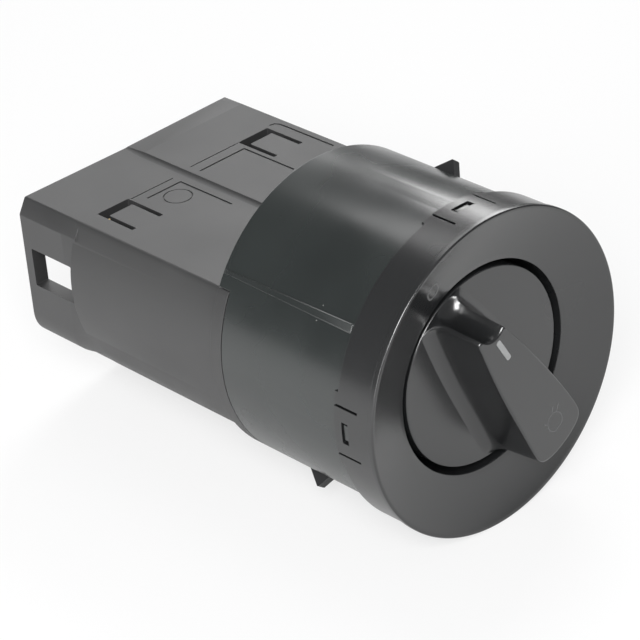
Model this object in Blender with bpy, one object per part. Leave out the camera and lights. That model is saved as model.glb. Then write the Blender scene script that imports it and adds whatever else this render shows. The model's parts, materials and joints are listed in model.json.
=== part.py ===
"""Rotary headlight switch for a dashboard.

The switch's axis is Y. Its face looks towards -Y and its connector towards +Y, with +Z up.
The origin is on the axis, in the plane where the bezel seats on the dashboard.
Angles round the axis are in degrees, clockwise from the top as the driver sees the face.
"""

import math

import bmesh
import bpy
from mathutils import Matrix, Vector

mm = 0.001

# Clearances
gap = 0.3 * mm
end_gap = 0.8 * mm
slide_gap = 0.2 * mm
fine_gap = 0.15 * mm

# Travel of the moving pieces
knob_out = 7.5 * mm
knob_in = 2.5 * mm
turn_step = 30.0
turn_stages = 2
lug_travel = 3.2 * mm
release_angle = 32.0

# Barrel, the sleeve behind the bezel
barrel_radius = 32.36 * mm
barrel_wall = 1.96 * mm
barrel_side_length = 32.7 * mm
barrel_setback = 3.5 * mm
hood_length = 3.3 * mm
bulkhead_thickness = 2.2 * mm
sleeve_length = 2.5 * mm
sleeve_wall = 2.4 * mm

# Bezel, the face ring
bezel_depth = 10.7 * mm
skirt_wall = 1.05 * mm
rim_lip = 0.3 * mm
rim_band = 1.4 * mm
rim_edge = 0.4 * mm
face_drop = 3.7 * mm
face_hollow = 0.25 * mm
face_thickness = 2.0 * mm
face_hole_radius = 22.1 * mm
collar_wall = 1.2 * mm
collar_length = 9.5 * mm
seat_relief = 0.95 * mm
seat_half_angle = 14.0
snap_angles = (1.4, 89.8, 181.4, 269.8)
snap_half_angle = 9.3
slit_width = 0.5 * mm
slit_length = 6.3 * mm
window_half_angle = 4.0
window_length = 1.7 * mm
window_setback = 2.1 * mm
nub_height = 0.95 * mm

# Knob, a disc with a tapering grip
disc_radius = 20.75 * mm
disc_recess = 0.5 * mm
disc_thickness = 2.2 * mm
disc_edge = 0.4 * mm
knob_skirt_length = 9.0 * mm
knob_skirt_wall = 1.5 * mm
boss_length = 9.7 * mm
boss_wall = 1.9 * mm
socket_floor = 3.0 * mm
knob_rest_angle = -30.0
grip_height = 12.2 * mm
grip_half_width = 6.1 * mm
grip_taper = 0.105
grip_bow = 0.0032 / mm
grip_fillet = 3.2 * mm
grip_draft = 0.05
grip_edge = 0.55 * mm
grip_end_setback = 0.15 * mm
grip_end_draft = 0.08
grip_corner_power = 7.0
scoop_top = 16.3 * mm
scoop_sill = 5.0 * mm
scoop_half_width = 3.7 * mm
scoop_depth = 4.4 * mm
indicator_length = 5.9 * mm
indicator_width = 1.2 * mm
indicator_depth = 1.4 * mm
indicator_middle = 12.8 * mm

# Shaft
shaft_radius = 5.5 * mm
shaft_flat = 4.3 * mm
tail_radius = 4.6 * mm
tail_flat = 3.55 * mm
dog_radius = 11.8 * mm
dog_width = 4.0 * mm
dog_thickness = 2.0 * mm
dog_angle = 88.0
clip_thickness = 0.9 * mm
clip_radius = 7.4 * mm
clip_groove = 0.6 * mm
washer_thickness = 1.0 * mm
washer_radius = 8.6 * mm

# Springs of round wire
push_spring_length = 8.5 * mm
push_spring_wire = 0.9 * mm
push_spring_turns = 5
lug_spring_length = 5.2 * mm
lug_spring_wire = 0.5 * mm
lug_spring_radius = 1.95 * mm
lug_spring_turns = 3.5
spring_steps = 10

# Locking lugs and the ring that draws them in
lug_angles = {"upper": 38.0, "lower": 218.0}
lug_thickness = 1.8 * mm
lug_width = 7.0 * mm
lug_reach = 2.84 * mm
lug_ramp = 4.2 * mm
lug_catch = 2.2 * mm
lug_shoulder = 0.5 * mm
lug_root = 13.9 * mm
lug_foot = 1.2 * mm
lug_foot_half = 2.4 * mm
peg_radius = 0.9 * mm
peg_seat = 19.5 * mm
guide_wall = 1.6 * mm
guide_root = 15.6 * mm
spring_seat_wall = 1.2 * mm
ring_thickness = 2.0 * mm
ring_radius = 23.5 * mm
ring_bore = 9.0 * mm
ring_notch_depth = 3.2 * mm
ring_notch_half_angle = 20.0

# Rear housing
partition_thickness = 2.0 * mm
housing_step = 1.19 * mm
housing_wall = 3.27 * mm
top_cut = 16.57 * mm
top_wall = 2.3 * mm
collar_rise = 0.7 * mm
body_length = 44.6 * mm
shroud_length = 17.0 * mm
shroud_inset = 1.77 * mm
shroud_wall = 3.3 * mm
shroud_shoulder = 11.3 * mm
shroud_corner = 12.2 * mm
shroud_corner_angle = 128.0
riser_x = 0.8 * mm
riser_width = 2.6 * mm
riser_rise = 0.55 * mm
riser_back_rise = 0.05 * mm
riser_steps = 3
raised_edge_rise = 0.75 * mm
raised_edge_back_rise = 0.68 * mm
raised_edge_inset = 0.15 * mm
raised_ramp = 5.6 * mm
raised_root = 0.15 * mm
side_window_front = 1.65 * mm
side_window_length = 12.95 * mm
side_window_low = -4.9 * mm
side_window_high = 3.9 * mm
near_tongue_x = 18.7 * mm
far_tongue_x = 20.4 * mm
near_tongue_back = 79.5 * mm
far_tongue_back = 79.0 * mm
tongue_half_width = 4.2 * mm
tongue_length = 11.1 * mm
tongue_slot = 1.1 * mm
tongue_end_slot = 2.6 * mm
hook_length = 2.3 * mm
hook_depth = 1.2 * mm
hook_half_width = 2.4 * mm
groove_depth = 0.3 * mm
groove_width = 0.5 * mm
fine_groove_width = 0.3 * mm
ring_mark_radius = 3.0 * mm
ring_mark_x = -7.3 * mm
ring_mark_y = 72.0 * mm
line_setback = 15.9 * mm
line_margin = 3.1 * mm
low_line_near = -11.7 * mm
low_line_far = -2.7 * mm
raised_line_x = 15.0 * mm
edge_line_inset = 1.8 * mm
rail_reach = 19.0 * mm
rail_thickness = 2.0 * mm

# Barrel's tapered rib
rib_angle = -55.5
rib_height = 0.4 * mm
rib_front_half_width = 0.95 * mm
rib_back_half_width = 0.4 * mm
rib_setback = 0.4 * mm

# Pull carriage and its detent
carriage_length = 7.0 * mm
carriage_half_height = 7.0 * mm
carriage_leg_half_width = 4.5 * mm
carriage_leg = 19.5 * mm
leg_setback = 0.5 * mm
leaf_thickness = 0.35 * mm
leaf_width = 4.0 * mm
pull_leaf_x = 5.5 * mm
pull_leaf_span = 6.0 * mm
pull_ridge_depth = 1.6 * mm
pull_notch_half = 1.3 * mm
slider_half_span = 2.6 * mm
slider_foot = 1.9 * mm
slider_heel = 1.2 * mm
slider_crown = 0.9 * mm
tip_lift = 0.6 * mm

# Contact rotor and its detent
finger_clearance = 1.8 * mm
rotor_thickness = 5.5 * mm
rotor_hub_radius = 8.0 * mm
rotor_detent_angle = -130.0
rotor_notch_depth = 1.5 * mm
rotor_notch_half = 1.9 * mm
turn_leaf_half_span = 9.0 * mm
rotor_core_radius = 11.4 * mm
rotor_wing = (58.0, 242.0)
rotor_contact_angles = (86.0, 150.0, 213.0)
rotor_contact_radius = 14.3 * mm
rotor_contact_half_length = 5.5 * mm
rotor_contact_width = 3.0 * mm
contact_height = 3.4 * mm
contact_strip = 0.35 * mm
contact_tip_lift = 1.2 * mm
turn_leaf_bend = 1.9 * mm

# Contact carrier, tracks and terminals
carrier_plate = 3.0 * mm
carrier_rim_wall = 1.8 * mm
carrier_rim_length = 6.4 * mm
carrier_finger_width = 3.0 * mm
carrier_finger_half_height = 3.5 * mm
bearing_wall = 1.8 * mm
track_thickness = 0.4 * mm
track_half_width = 2.1 * mm
track_spans = ((62.0, 114.0), (120.0, 176.0), (182.0, 238.0), (244.0, 298.0))
shaft_grip = 7.0 * mm
terminal_columns = 6
terminal_rows = (-7.6 * mm, 7.6 * mm)
terminal_pitch = 5.5 * mm
terminal_width = 2.8 * mm
terminal_thickness = 0.8 * mm
terminal_reach = 10.0 * mm
terminal_tip = 1.2 * mm
block_half_width = 17.5 * mm
block_half_height = 10.4 * mm
block_length = 9.4 * mm

# Lamp board and light guide
board_thickness = 1.6 * mm
board_wall_gap = 0.5 * mm
board_inner_margin = 0.6 * mm
lamp_angles = (-31.0, 0.0, 30.0)
lamp_length = 3.2 * mm
lamp_width = 2.6 * mm
lamp_height = 1.9 * mm
guide_ring_thickness = 4.6 * mm
board_pin_angles = (160.0, 200.0)
board_pin_circle = 25.4 * mm
board_pin_side = 0.8 * mm
post_radius = 1.6 * mm
post_angles = (75.0, 135.0, 255.0, 315.0)

round_steps = 72
ring_steps = 36
bore_steps = 32
dish_steps = 4
grip_steps = 20

# Places along the axis, worked out from the sizes above
rim_front = -bezel_depth
disc_front = rim_front + face_drop + disc_recess
knob_back = disc_front + knob_skirt_length
boss_back = disc_front + boss_length
sleeve_front = boss_back + knob_in + end_gap
bulkhead_front = sleeve_front + sleeve_length
bulkhead_back = bulkhead_front + bulkhead_thickness
dog_front = bulkhead_back + end_gap + knob_out
dog_back = dog_front + dog_thickness
ring_front = dog_back + knob_in + end_gap - gap
ring_back = ring_front + ring_thickness
guide_back = ring_front - gap
lug_back = guide_back - 2 * gap
lug_front = lug_back - lug_width
partition_front = ring_back + gap
partition_back = partition_front + partition_thickness
washer_front = partition_back + knob_out + end_gap
shaft_step = washer_front - slide_gap
washer_back = washer_front + washer_thickness
push_spring_front = washer_back + gap
carriage_front = push_spring_front + push_spring_length + gap
carriage_back = carriage_front + carriage_length
clip_front = carriage_back + gap
clip_back = clip_front + clip_thickness
rotor_front = clip_back + knob_in + end_gap
rotor_back = rotor_front + rotor_thickness
track_front = rotor_back + gap + contact_height + gap
track_back = track_front + track_thickness
carrier_front = track_back + gap
carrier_back = carrier_front + carrier_plate
shaft_back = rotor_back + shaft_grip
pocket_back = shaft_back + knob_in + end_gap
block_back = carrier_back + block_length
barrel_front = rim_front + barrel_setback
barrel_back = barrel_side_length + hood_length
body_back = barrel_back + body_length
shroud_back = body_back + shroud_length

# Radii that follow from their neighbours
barrel_inner = barrel_radius - barrel_wall
skirt_inner = barrel_radius + gap
skirt_radius = skirt_inner + skirt_wall
rim_radius = skirt_radius + rim_lip
collar_radius = face_hole_radius + collar_wall
shaft_bore = shaft_radius + slide_gap
tail_bore = tail_radius + slide_gap
sleeve_radius = shaft_bore + sleeve_wall
plug_radius = barrel_inner - gap
housing_radius = barrel_radius - housing_step
top_height = housing_radius - top_cut
collar_top = top_height + collar_rise
shroud_half_width = housing_radius - shroud_inset
raised_edge = shroud_half_width - raised_edge_inset
cavity_radius = housing_radius - housing_wall
cavity_half_width = shroud_half_width - shroud_wall
cavity_top = top_height - top_wall
rotor_radius = cavity_half_width - gap - carrier_finger_width - finger_clearance
lug_tip = barrel_radius + lug_reach
push_spring_radius = tail_radius + gap + push_spring_wire + slide_gap
light_guide_outer = barrel_inner - board_wall_gap


def polar(radius, angle):
    """X and Z of a point at a radius and an angle clockwise from the top."""
    turn = math.radians(angle)
    return radius * math.sin(turn), radius * math.cos(turn)


def arc(radius, first, last, steps):
    """Points along an arc from one angle to another, ends included."""
    return [polar(radius, first + (last - first) * i / steps) for i in range(steps + 1)]


def clear_scene():
    for old in list(bpy.data.objects):
        bpy.data.objects.remove(old, do_unlink=True)


def plastic(name, colour, roughness, metallic=0.0):
    """A Principled material with one colour."""
    made = bpy.data.materials.new(name)
    made.use_nodes = True
    shader = made.node_tree.nodes["Principled BSDF"]
    shader.inputs["Base Color"].default_value = (*colour, 1.0)
    shader.inputs["Roughness"].default_value = roughness
    shader.inputs["Metallic"].default_value = metallic
    made.diffuse_color = (*colour, 1.0)
    return made


def mesh_from(bm, name):
    """Closes a bmesh into a mesh whose faces point outwards."""
    bmesh.ops.remove_doubles(bm, verts=bm.verts, dist=1e-7)
    bmesh.ops.recalc_face_normals(bm, faces=bm.faces)
    mesh = bpy.data.meshes.new(name)
    bm.to_mesh(mesh)
    bm.free()
    return mesh


def turned(name, profile, steps=round_steps):
    """A solid of revolution round Y from a closed loop of (radius, y) points."""
    bm = bmesh.new()
    points = [bm.verts.new((radius, y, 0.0)) for radius, y in profile]
    edges = [bm.edges.new((points[i - 1], points[i])) for i in range(len(points))]
    bmesh.ops.spin(bm, geom=points + edges, axis=(0.0, 1.0, 0.0), cent=(0.0, 0.0, 0.0),
                   steps=steps, angle=math.tau, use_merge=True)
    return mesh_from(bm, name)


def tube(name, outer, inner, length, steps=round_steps):
    """A plain ring from y = 0 to y = length."""
    return turned(name, [(outer, 0.0), (outer, length), (inner, length), (inner, 0.0)], steps)


def rod(name, radius, length, steps=bore_steps):
    """A plain cylinder from y = 0 to y = length."""
    return turned(name, [(0.0, 0.0), (radius, 0.0), (radius, length), (0.0, length)], steps)


def extruded(name, outline, length):
    """A prism along Y, from y = 0, with a cross-section of (x, z) points."""
    bm = bmesh.new()
    face = bm.faces.new([bm.verts.new((x, 0.0, z)) for x, z in outline])
    grown = bmesh.ops.extrude_face_region(bm, geom=[face])
    moved = [item for item in grown["geom"] if isinstance(item, bmesh.types.BMVert)]
    bmesh.ops.translate(bm, verts=moved, vec=(0.0, length, 0.0))
    return mesh_from(bm, name)


def block(name, low, high):
    """A box between two corners."""
    bm = bmesh.new()
    size = [high[i] - low[i] for i in range(3)]
    middle = [(high[i] + low[i]) / 2 for i in range(3)]
    place = Matrix.Translation(middle) @ Matrix.Diagonal((*size, 1.0))
    bmesh.ops.create_cube(bm, size=1.0, matrix=place)
    return mesh_from(bm, name)


def block_pair(name, low, high):
    """Two boxes, one on each side of the axis."""
    bm = bmesh.new()
    size = [high[i] - low[i] for i in range(3)]
    middle = [(high[i] + low[i]) / 2 for i in range(3)]
    for side in (1, -1):
        spot = Matrix.Translation((middle[0], middle[1], side * middle[2]))
        bmesh.ops.create_cube(bm, size=1.0, matrix=spot @ Matrix.Diagonal((*size, 1.0)))
    return mesh_from(bm, name)


def plate(name, outline, half, mirrored=False):
    """A flat plate centred on X = 0, from an outline of (y, z) points, and its opposite if asked."""
    bm = bmesh.new()
    for side in ((1, -1) if mirrored else (1,)):
        face = bm.faces.new([bm.verts.new((-half, y, side * z)) for y, z in outline])
        grown = bmesh.ops.extrude_face_region(bm, geom=[face])
        moved = [item for item in grown["geom"] if isinstance(item, bmesh.types.BMVert)]
        bmesh.ops.translate(bm, verts=moved, vec=(2 * half, 0.0, 0.0))
    return mesh_from(bm, name)


def sector(name, inner, outer, first, last, length, steps=6):
    """A piece of a flat ring between two angles."""
    outline = arc(outer, first, last, steps) + arc(inner, last, first, steps)
    return extruded(name, outline, length)


def strip(name, path, thickness, width):
    """A bent strip that follows a path of (y, z) points, centred on X = 0."""
    sides = []
    for i, (y, z) in enumerate(path):
        before = Vector(path[max(i - 1, 0)])
        after = Vector(path[min(i + 1, len(path) - 1)])
        along = (after - before).normalized()
        off = Vector((-along.y, along.x)) * thickness / 2
        sides.append(((y + off.x, z + off.y), (y - off.x, z - off.y)))
    loop = [side[0] for side in sides] + [side[1] for side in reversed(sides)]
    return plate(name, loop, width / 2)


def place(name, mesh, material, y=0.0, angle=0.0, x=0.0, z=0.0, sharp=32.0):
    """Puts a node in the scene, turned round Y by an angle, with its sharp edges marked."""
    mesh.materials.clear()
    mesh.materials.append(material)
    mesh.shade_smooth()
    mesh.set_sharp_from_angle(angle=math.radians(sharp))
    node = bpy.data.objects.new(name, mesh)
    bpy.context.scene.collection.objects.link(node)
    node.location = (x, y, z)
    node.rotation_euler = (0.0, math.radians(angle), 0.0)
    return node


def shape(target, operation, mesh, y=0.0, angle=0.0, x=0.0, z=0.0, solver="EXACT"):
    """Joins a shape to a node or cuts it away, with a live Boolean."""
    tool = bpy.data.objects.new(target.name + "_" + mesh.name, mesh)
    bpy.context.scene.collection.objects.link(tool)
    tool.location = (x, y, z)
    tool.rotation_euler = (0.0, math.radians(angle), 0.0)
    tool.hide_render = True
    tool.display_type = "WIRE"
    step = target.modifiers.new(mesh.name, "BOOLEAN")
    step.object = tool
    step.operation = operation
    step.solver = solver
    return tool


def cut(target, mesh, **where):
    return shape(target, "DIFFERENCE", mesh, **where)


def add(target, mesh, **where):
    return shape(target, "UNION", mesh, **where)


def make_materials():
    return {
        "satin": plastic("satin_face", (0.075, 0.078, 0.08), 0.42),
        "gloss": plastic("gloss_sleeve", (0.018, 0.022, 0.021), 0.3),
        "matt": plastic("matt_housing", (0.1, 0.1, 0.1), 0.62),
        "white": plastic("indicator_white", (0.85, 0.86, 0.86), 0.4),
        "inner": plastic("inner_moulding", (0.16, 0.16, 0.165), 0.55),
        "pale": plastic("pale_moulding", (0.62, 0.6, 0.55), 0.5),
        "brass": plastic("contact_brass", (0.75, 0.58, 0.3), 0.3, 1.0),
        "steel": plastic("spring_steel", (0.6, 0.6, 0.62), 0.3, 1.0),
        "clear": plastic("clear_guide", (0.8, 0.83, 0.85), 0.15),
        "board": plastic("board_green", (0.03, 0.16, 0.07), 0.5),
    }


def make_bezel(material):
    """Face ring: a dished front, a collar round the knob and a skirt with four snap tabs."""
    hole_front = rim_front + face_drop
    face_run = rim_radius - rim_edge - face_hole_radius
    face = []
    for i in range(dish_steps + 1):
        share = i / dish_steps
        dip = face_hollow * 4 * share * (1 - share)
        face.append((face_hole_radius + face_run * share, hole_front - face_drop * share + dip))
    back_lift = face_drop * (skirt_inner - collar_radius) / face_run
    profile = face + [
        (rim_radius - rim_edge * 0.3, rim_front + rim_edge * 0.3),
        (rim_radius, rim_front + rim_edge),
        (rim_radius, rim_front + rim_band),
        (skirt_radius, rim_front + rim_band + rim_lip),
        (skirt_radius, 0.0),
        (skirt_inner, 0.0),
        (skirt_inner, hole_front + face_thickness - back_lift),
        (collar_radius, hole_front + face_thickness),
        (collar_radius, hole_front + collar_length),
        (face_hole_radius, hole_front + collar_length),
    ]
    bezel = place("bezel", turned("bezel", profile), material)
    reach = skirt_wall + rim_lip + gap
    for i, middle in enumerate(snap_angles):
        following = snap_angles[(i + 1) % len(snap_angles)]
        if following < middle:
            following += 360.0
        cut(bezel, sector("relief", skirt_inner - reach, skirt_radius + reach, middle + seat_half_angle,
                          following - seat_half_angle, seat_relief + gap, 20), y=-seat_relief)
        for side in (-1, 1):
            cut(bezel, block("slit", (-slit_width / 2, -slit_length, skirt_inner - reach),
                             (slit_width / 2, gap, skirt_radius + reach)),
                angle=middle + side * snap_half_angle)
        cut(bezel, sector("window", skirt_inner - reach, skirt_radius + reach, -window_half_angle,
                          window_half_angle, window_length, 3),
            y=-window_setback - window_length, angle=middle)
    return bezel


def make_barrel(material):
    """Sleeve with a bulkhead that carries the shaft, the lug guides and the lamp board."""
    profile = [
        (barrel_radius, barrel_front),
        (barrel_radius, barrel_back),
        (barrel_inner, barrel_back),
        (barrel_inner, bulkhead_back),
        (shaft_bore, bulkhead_back),
        (shaft_bore, sleeve_front),
        (sleeve_radius, sleeve_front),
        (sleeve_radius, bulkhead_front),
        (barrel_inner, bulkhead_front),
        (barrel_inner, barrel_front),
    ]
    barrel = place("barrel", turned("barrel", profile), material)
    root = barrel_inner + barrel_wall / 2
    cut(barrel, block("side_relief", (-rim_radius, 0.0, -rim_radius),
                      (rim_radius, hood_length + end_gap, collar_top + gap)), y=barrel_side_length)
    for middle in snap_angles:
        nub_length = window_length - 2 * gap
        half = math.radians(window_half_angle) * barrel_radius - gap
        outline = [(-half, root), (half, root), (half - gap, barrel_radius + nub_height),
                   (gap - half, barrel_radius + nub_height)]
        add(barrel, extruded("nub", outline, nub_length), y=-window_setback - window_length + gap,
            angle=middle)
    add(barrel, make_rib())
    channel = lug_thickness / 2 + slide_gap
    cheek = channel + guide_wall
    seat_half = lug_spring_radius + lug_spring_wire / 2
    seat_back = (lug_front + lug_back) / 2 + seat_half
    seat_root = lug_root - 2 * gap - lug_spring_length - spring_seat_wall
    angle = lug_angles["upper"]
    add(barrel, block_pair("guides", (-cheek, bulkhead_back - end_gap, guide_root),
                           (cheek, guide_back, root - gap)), angle=angle)
    add(barrel, block_pair("spring_seats", (-seat_half, bulkhead_back - gap, seat_root),
                           (seat_half, seat_back, seat_root + spring_seat_wall)), angle=angle)
    slot = [(lug_front - gap, guide_root - gap), (guide_back + gap, guide_root - gap),
            (guide_back + gap, barrel_inner - end_gap), (lug_back + gap, barrel_inner - end_gap),
            (lug_back + gap, rim_radius), (lug_front - gap, rim_radius)]
    cut(barrel, plate("lug_slots", slot, channel, True), angle=angle)
    for angle in post_angles:
        x, z = polar((collar_radius + barrel_inner) / 2, angle)
        add(barrel, rod("post", post_radius, sleeve_length + gap, 16),
            x=x, z=z, y=bulkhead_front - sleeve_length)
    cut_board_pin_holes(barrel, bulkhead_front, bulkhead_back)
    return barrel


def make_rib():
    """Thin key along the barrel, wider towards the face."""
    front = rib_setback
    back = barrel_back - rib_setback
    bm = bmesh.new()
    corners = []
    for y, half in ((front, rib_front_half_width), (back, rib_back_half_width)):
        swing = math.degrees(half / barrel_radius)
        for radius, angle in ((barrel_inner + barrel_wall / 2, -swing), (barrel_radius + rib_height, -swing),
                              (barrel_radius + rib_height, swing), (barrel_inner + barrel_wall / 2, swing)):
            x, z = polar(radius, rib_angle + angle)
            corners.append(bm.verts.new((x, y, z)))
    bm.faces.new(corners[:4])
    bm.faces.new(corners[4:])
    for i in range(4):
        j = (i + 1) % 4
        bm.faces.new((corners[i], corners[j], corners[j + 4], corners[i + 4]))
    bmesh.ops.triangulate(bm, faces=bm.faces)
    return mesh_from(bm, "rib")


def cut_board_pin_holes(target, front, back):
    half = board_pin_side / 2 + gap
    for angle in board_pin_angles:
        cut(target, block("pin_hole", (-half, front - end_gap, board_pin_circle - half),
                          (half, back + end_gap, board_pin_circle + half)), angle=angle)


def grip_slice(height, inset):
    """Outline of the grip at a height over the disc, as (u, v) points.

    u runs along the grip towards its narrow end and v across it.
    """
    rise = max(grip_fillet - height, 0.0)
    flare = grip_fillet - math.sqrt(grip_fillet ** 2 - rise ** 2) if rise > 0 else 0.0
    end = disc_radius - grip_end_setback - grip_end_draft * height - inset
    side = []
    for i in range(1, grip_steps):
        u = end * math.cos(math.pi * i / grip_steps)
        width = grip_half_width - grip_taper * u - grip_bow * u * u * (1.0 if u > 0 else 0.45)
        width += grip_draft * (grip_height - height) + flare - inset
        chord = math.sqrt(end * end - u * u)
        power = grip_corner_power
        side.append((u, (width ** -power + chord ** -power) ** (-1.0 / power)))
    outline = [(end, 0.0)] + side + [(-end, 0.0)]
    return outline + [(u, -v) for u, v in reversed(side)]


def make_grip():
    """Lofts the grip from level slices: a flared foot, drawn flanks and a rounded front edge."""
    levels = [(-disc_thickness / 2, 0.0)]
    levels += [(grip_fillet * (1 - math.cos(math.radians(a))), 0.0) for a in (6, 22, 42, 64, 90)]
    levels += [(grip_height * 0.6, 0.0)]
    for a in (0, 45, 90):
        drop = grip_edge * (1 - math.sin(math.radians(a)))
        inset = grip_edge * (1 - math.cos(math.radians(a)))
        levels.append((grip_height - drop, inset))
    bm = bmesh.new()
    rings = []
    for height, inset in levels:
        level = max(height, 0.02 * mm)
        rings.append([bm.verts.new((v, -height, u)) for u, v in grip_slice(level, inset)])
    for lower, upper in zip(rings, rings[1:]):
        for i in range(len(lower)):
            j = (i + 1) % len(lower)
            bm.faces.new((lower[i], lower[j], upper[j], upper[i]))
    bm.faces.new(rings[0])
    bm.faces.new(rings[-1])
    return mesh_from(bm, "grip")


def make_scoop():
    """Long rounded tool that hollows the grip's narrow end, from its front to the rim."""
    top = Vector((0.0, -grip_height, scoop_top))
    foot = Vector((0.0, -scoop_sill, disc_radius - grip_end_setback))
    slope = (foot - top).normalized()
    outward = Vector((0.0, slope.z, -slope.y))
    if outward.z < 0:
        outward = -outward
    centre = (top + foot) / 2 + outward * scoop_depth
    frame = Matrix((Vector((1.0, 0.0, 0.0)), slope, outward)).transposed().to_4x4()
    size = Matrix.Diagonal((scoop_half_width, (foot - top).length, scoop_depth, 1.0))
    bm = bmesh.new()
    bmesh.ops.create_uvsphere(bm, u_segments=24, v_segments=16, radius=1.0,
                              matrix=Matrix.Translation(centre) @ frame @ size)
    return mesh_from(bm, "scoop")


def shaft_outline(radius, flat, spare):
    """Round section with four flats, grown by a clearance."""
    corner = math.degrees(math.acos((flat + spare) / (radius + spare)))
    points = []
    for quarter in range(4):
        middle = quarter * 90.0 + 45.0
        half = 45.0 - corner
        points += arc(radius + spare, middle - half, middle + half, 4)
    return points


def make_knob(material):
    """Disc with a skirt and a socket behind, and the grip in front."""
    inner = disc_radius - knob_skirt_wall
    boss_radius = shaft_radius + fine_gap + boss_wall
    back_of_disc = disc_front + disc_thickness
    profile = [
        (0.0, disc_front),
        (disc_radius - disc_edge, disc_front),
        (disc_radius - disc_edge * 0.3, disc_front + disc_edge * 0.3),
        (disc_radius, disc_front + disc_edge),
        (disc_radius, knob_back),
        (inner, knob_back),
        (inner, back_of_disc),
        (boss_radius, back_of_disc),
        (boss_radius, boss_back),
        (0.0, boss_back),
    ]
    knob = place("knob", turned("knob", profile), material, angle=knob_rest_angle)
    add(knob, make_grip(), y=disc_front, angle=knob_rest_angle)
    cut(knob, make_scoop(), y=disc_front, angle=knob_rest_angle)
    socket = extruded("socket", shaft_outline(shaft_radius, shaft_flat, fine_gap), boss_length)
    cut(knob, socket, y=disc_front + socket_floor, angle=knob_rest_angle)
    half = indicator_width / 2 + fine_gap
    long_half = indicator_length / 2 + fine_gap
    cut(knob, block("indicator_pocket", (-half, -grip_height - end_gap, indicator_middle - long_half),
                    (half, indicator_depth - grip_height, indicator_middle + long_half)),
        y=disc_front, angle=knob_rest_angle)
    return knob


def make_indicator(material):
    """White bar let into the front of the grip."""
    half = indicator_width / 2
    outline = []
    for end, first in ((1, -90.0), (-1, 90.0)):
        for x, z in arc(half, first, first + 180.0, 6):
            outline.append((x, z + indicator_middle + end * (indicator_length / 2 - half)))
    mesh = extruded("knob_indicator", outline, indicator_depth - gap)
    return place("knob_indicator", mesh, material, y=disc_front - grip_height, angle=knob_rest_angle)


def make_shaft(material):
    """Square-sided spindle with two dogs and a thinner tail."""
    front = disc_front + socket_floor + gap
    section = shaft_outline(shaft_radius, shaft_flat, 0.0)
    shaft = place("shaft", extruded("shaft", section, shaft_step - front), material, y=front,
                  angle=knob_rest_angle)
    tail_section = shaft_outline(tail_radius, tail_flat, 0.0)
    add(shaft, extruded("tail", tail_section, shaft_back - shaft_step + gap), y=shaft_step - gap,
        angle=knob_rest_angle)
    add(shaft, block("dogs", (-dog_width / 2, 0.0, -dog_radius), (dog_width / 2, dog_thickness, dog_radius)),
        y=dog_front, angle=dog_angle)
    groove = clip_thickness + 2 * fine_gap
    floor = tail_radius - clip_groove - fine_gap
    cut(shaft, tube("clip_groove", tail_radius + end_gap, floor, groove, bore_steps),
        y=clip_front - fine_gap)
    return shaft


def make_helix(name, radius, wire, length, turns, material, y=0.0, angle=0.0, lying=False):
    """Compression spring as a bevelled curve, along Y or out along the radius at an angle."""
    steps = int(turns * spring_steps)
    curve = bpy.data.curves.new(name, "CURVE")
    curve.dimensions = "3D"
    curve.bevel_depth = wire / 2
    curve.bevel_resolution = 1
    curve.use_fill_caps = True
    line = curve.splines.new("POLY")
    line.points.add(steps)
    for i in range(steps + 1):
        turn = math.tau * i / spring_steps
        rise = wire / 2 + (length - wire) * i / steps
        spot = (radius * math.cos(turn), rise, radius * math.sin(turn))
        if lying:
            spot = (spot[0], spot[2], spot[1])
        line.points[i].co = (*spot, 1.0)
    curve.materials.append(material)
    node = bpy.data.objects.new(name, curve)
    bpy.context.scene.collection.objects.link(node)
    node.location = (0.0, y, 0.0)
    node.rotation_euler = (0.0, math.radians(angle), 0.0)
    return node


def make_push_stack(materials):
    """Thrust washer, push spring and the clip behind the carriage."""
    place("thrust_washer", tube("thrust_washer", washer_radius, tail_bore, washer_thickness, 28),
          materials["steel"], y=washer_front)
    make_helix("push_spring", push_spring_radius, push_spring_wire, push_spring_length, push_spring_turns,
               materials["steel"], y=push_spring_front)
    opening = tail_radius - clip_groove
    clip = place("shaft_clip", tube("shaft_clip", clip_radius, opening, clip_thickness, 28),
                 materials["steel"], y=clip_front, angle=knob_rest_angle)
    mouth = block("clip_mouth", (-opening, -gap, 0.0), (opening, clip_thickness + gap, clip_radius + gap))
    cut(clip, mouth, y=clip_front, angle=knob_rest_angle)


def make_lugs(materials):
    """Barbed lugs that stand out of the barrel, each with its spring."""
    for side, angle in lug_angles.items():
        middle = lug_front + lug_catch + gap
        shoulder = barrel_radius - gap
        outline = [
            (lug_front, lug_root),
            (lug_back, lug_root),
            (lug_back, shoulder),
            (middle + lug_ramp, shoulder),
            (middle + gap, lug_tip),
            (middle - gap / 2, lug_tip - gap / 2),
            (lug_front + lug_shoulder, shoulder),
            (lug_front, shoulder),
        ]
        name = "lug_" + side
        lug = place(name, plate(name, outline, lug_thickness / 2), materials["inner"], angle=angle)
        lug_middle = (lug_front + lug_back) / 2
        add(lug, block("foot", (-lug_foot_half, lug_middle - lug_foot_half, lug_root - gap / 2),
                       (lug_foot_half, lug_middle + lug_foot_half, lug_root + lug_foot)), angle=angle)
        x, z = polar(peg_seat, angle)
        add(lug, rod("peg", peg_radius, ring_back - lug_back + end_gap, 16), x=x, z=z,
            y=lug_back - end_gap - gap / 2)
        spring = make_helix("lug_spring_" + side, lug_spring_radius, lug_spring_wire, lug_spring_length,
                            lug_spring_turns, materials["steel"], y=lug_middle, angle=angle, lying=True)
        start = lug_root - gap - lug_spring_length
        x, z = polar(start, angle)
        spring.location = (x, lug_middle, z)


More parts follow.
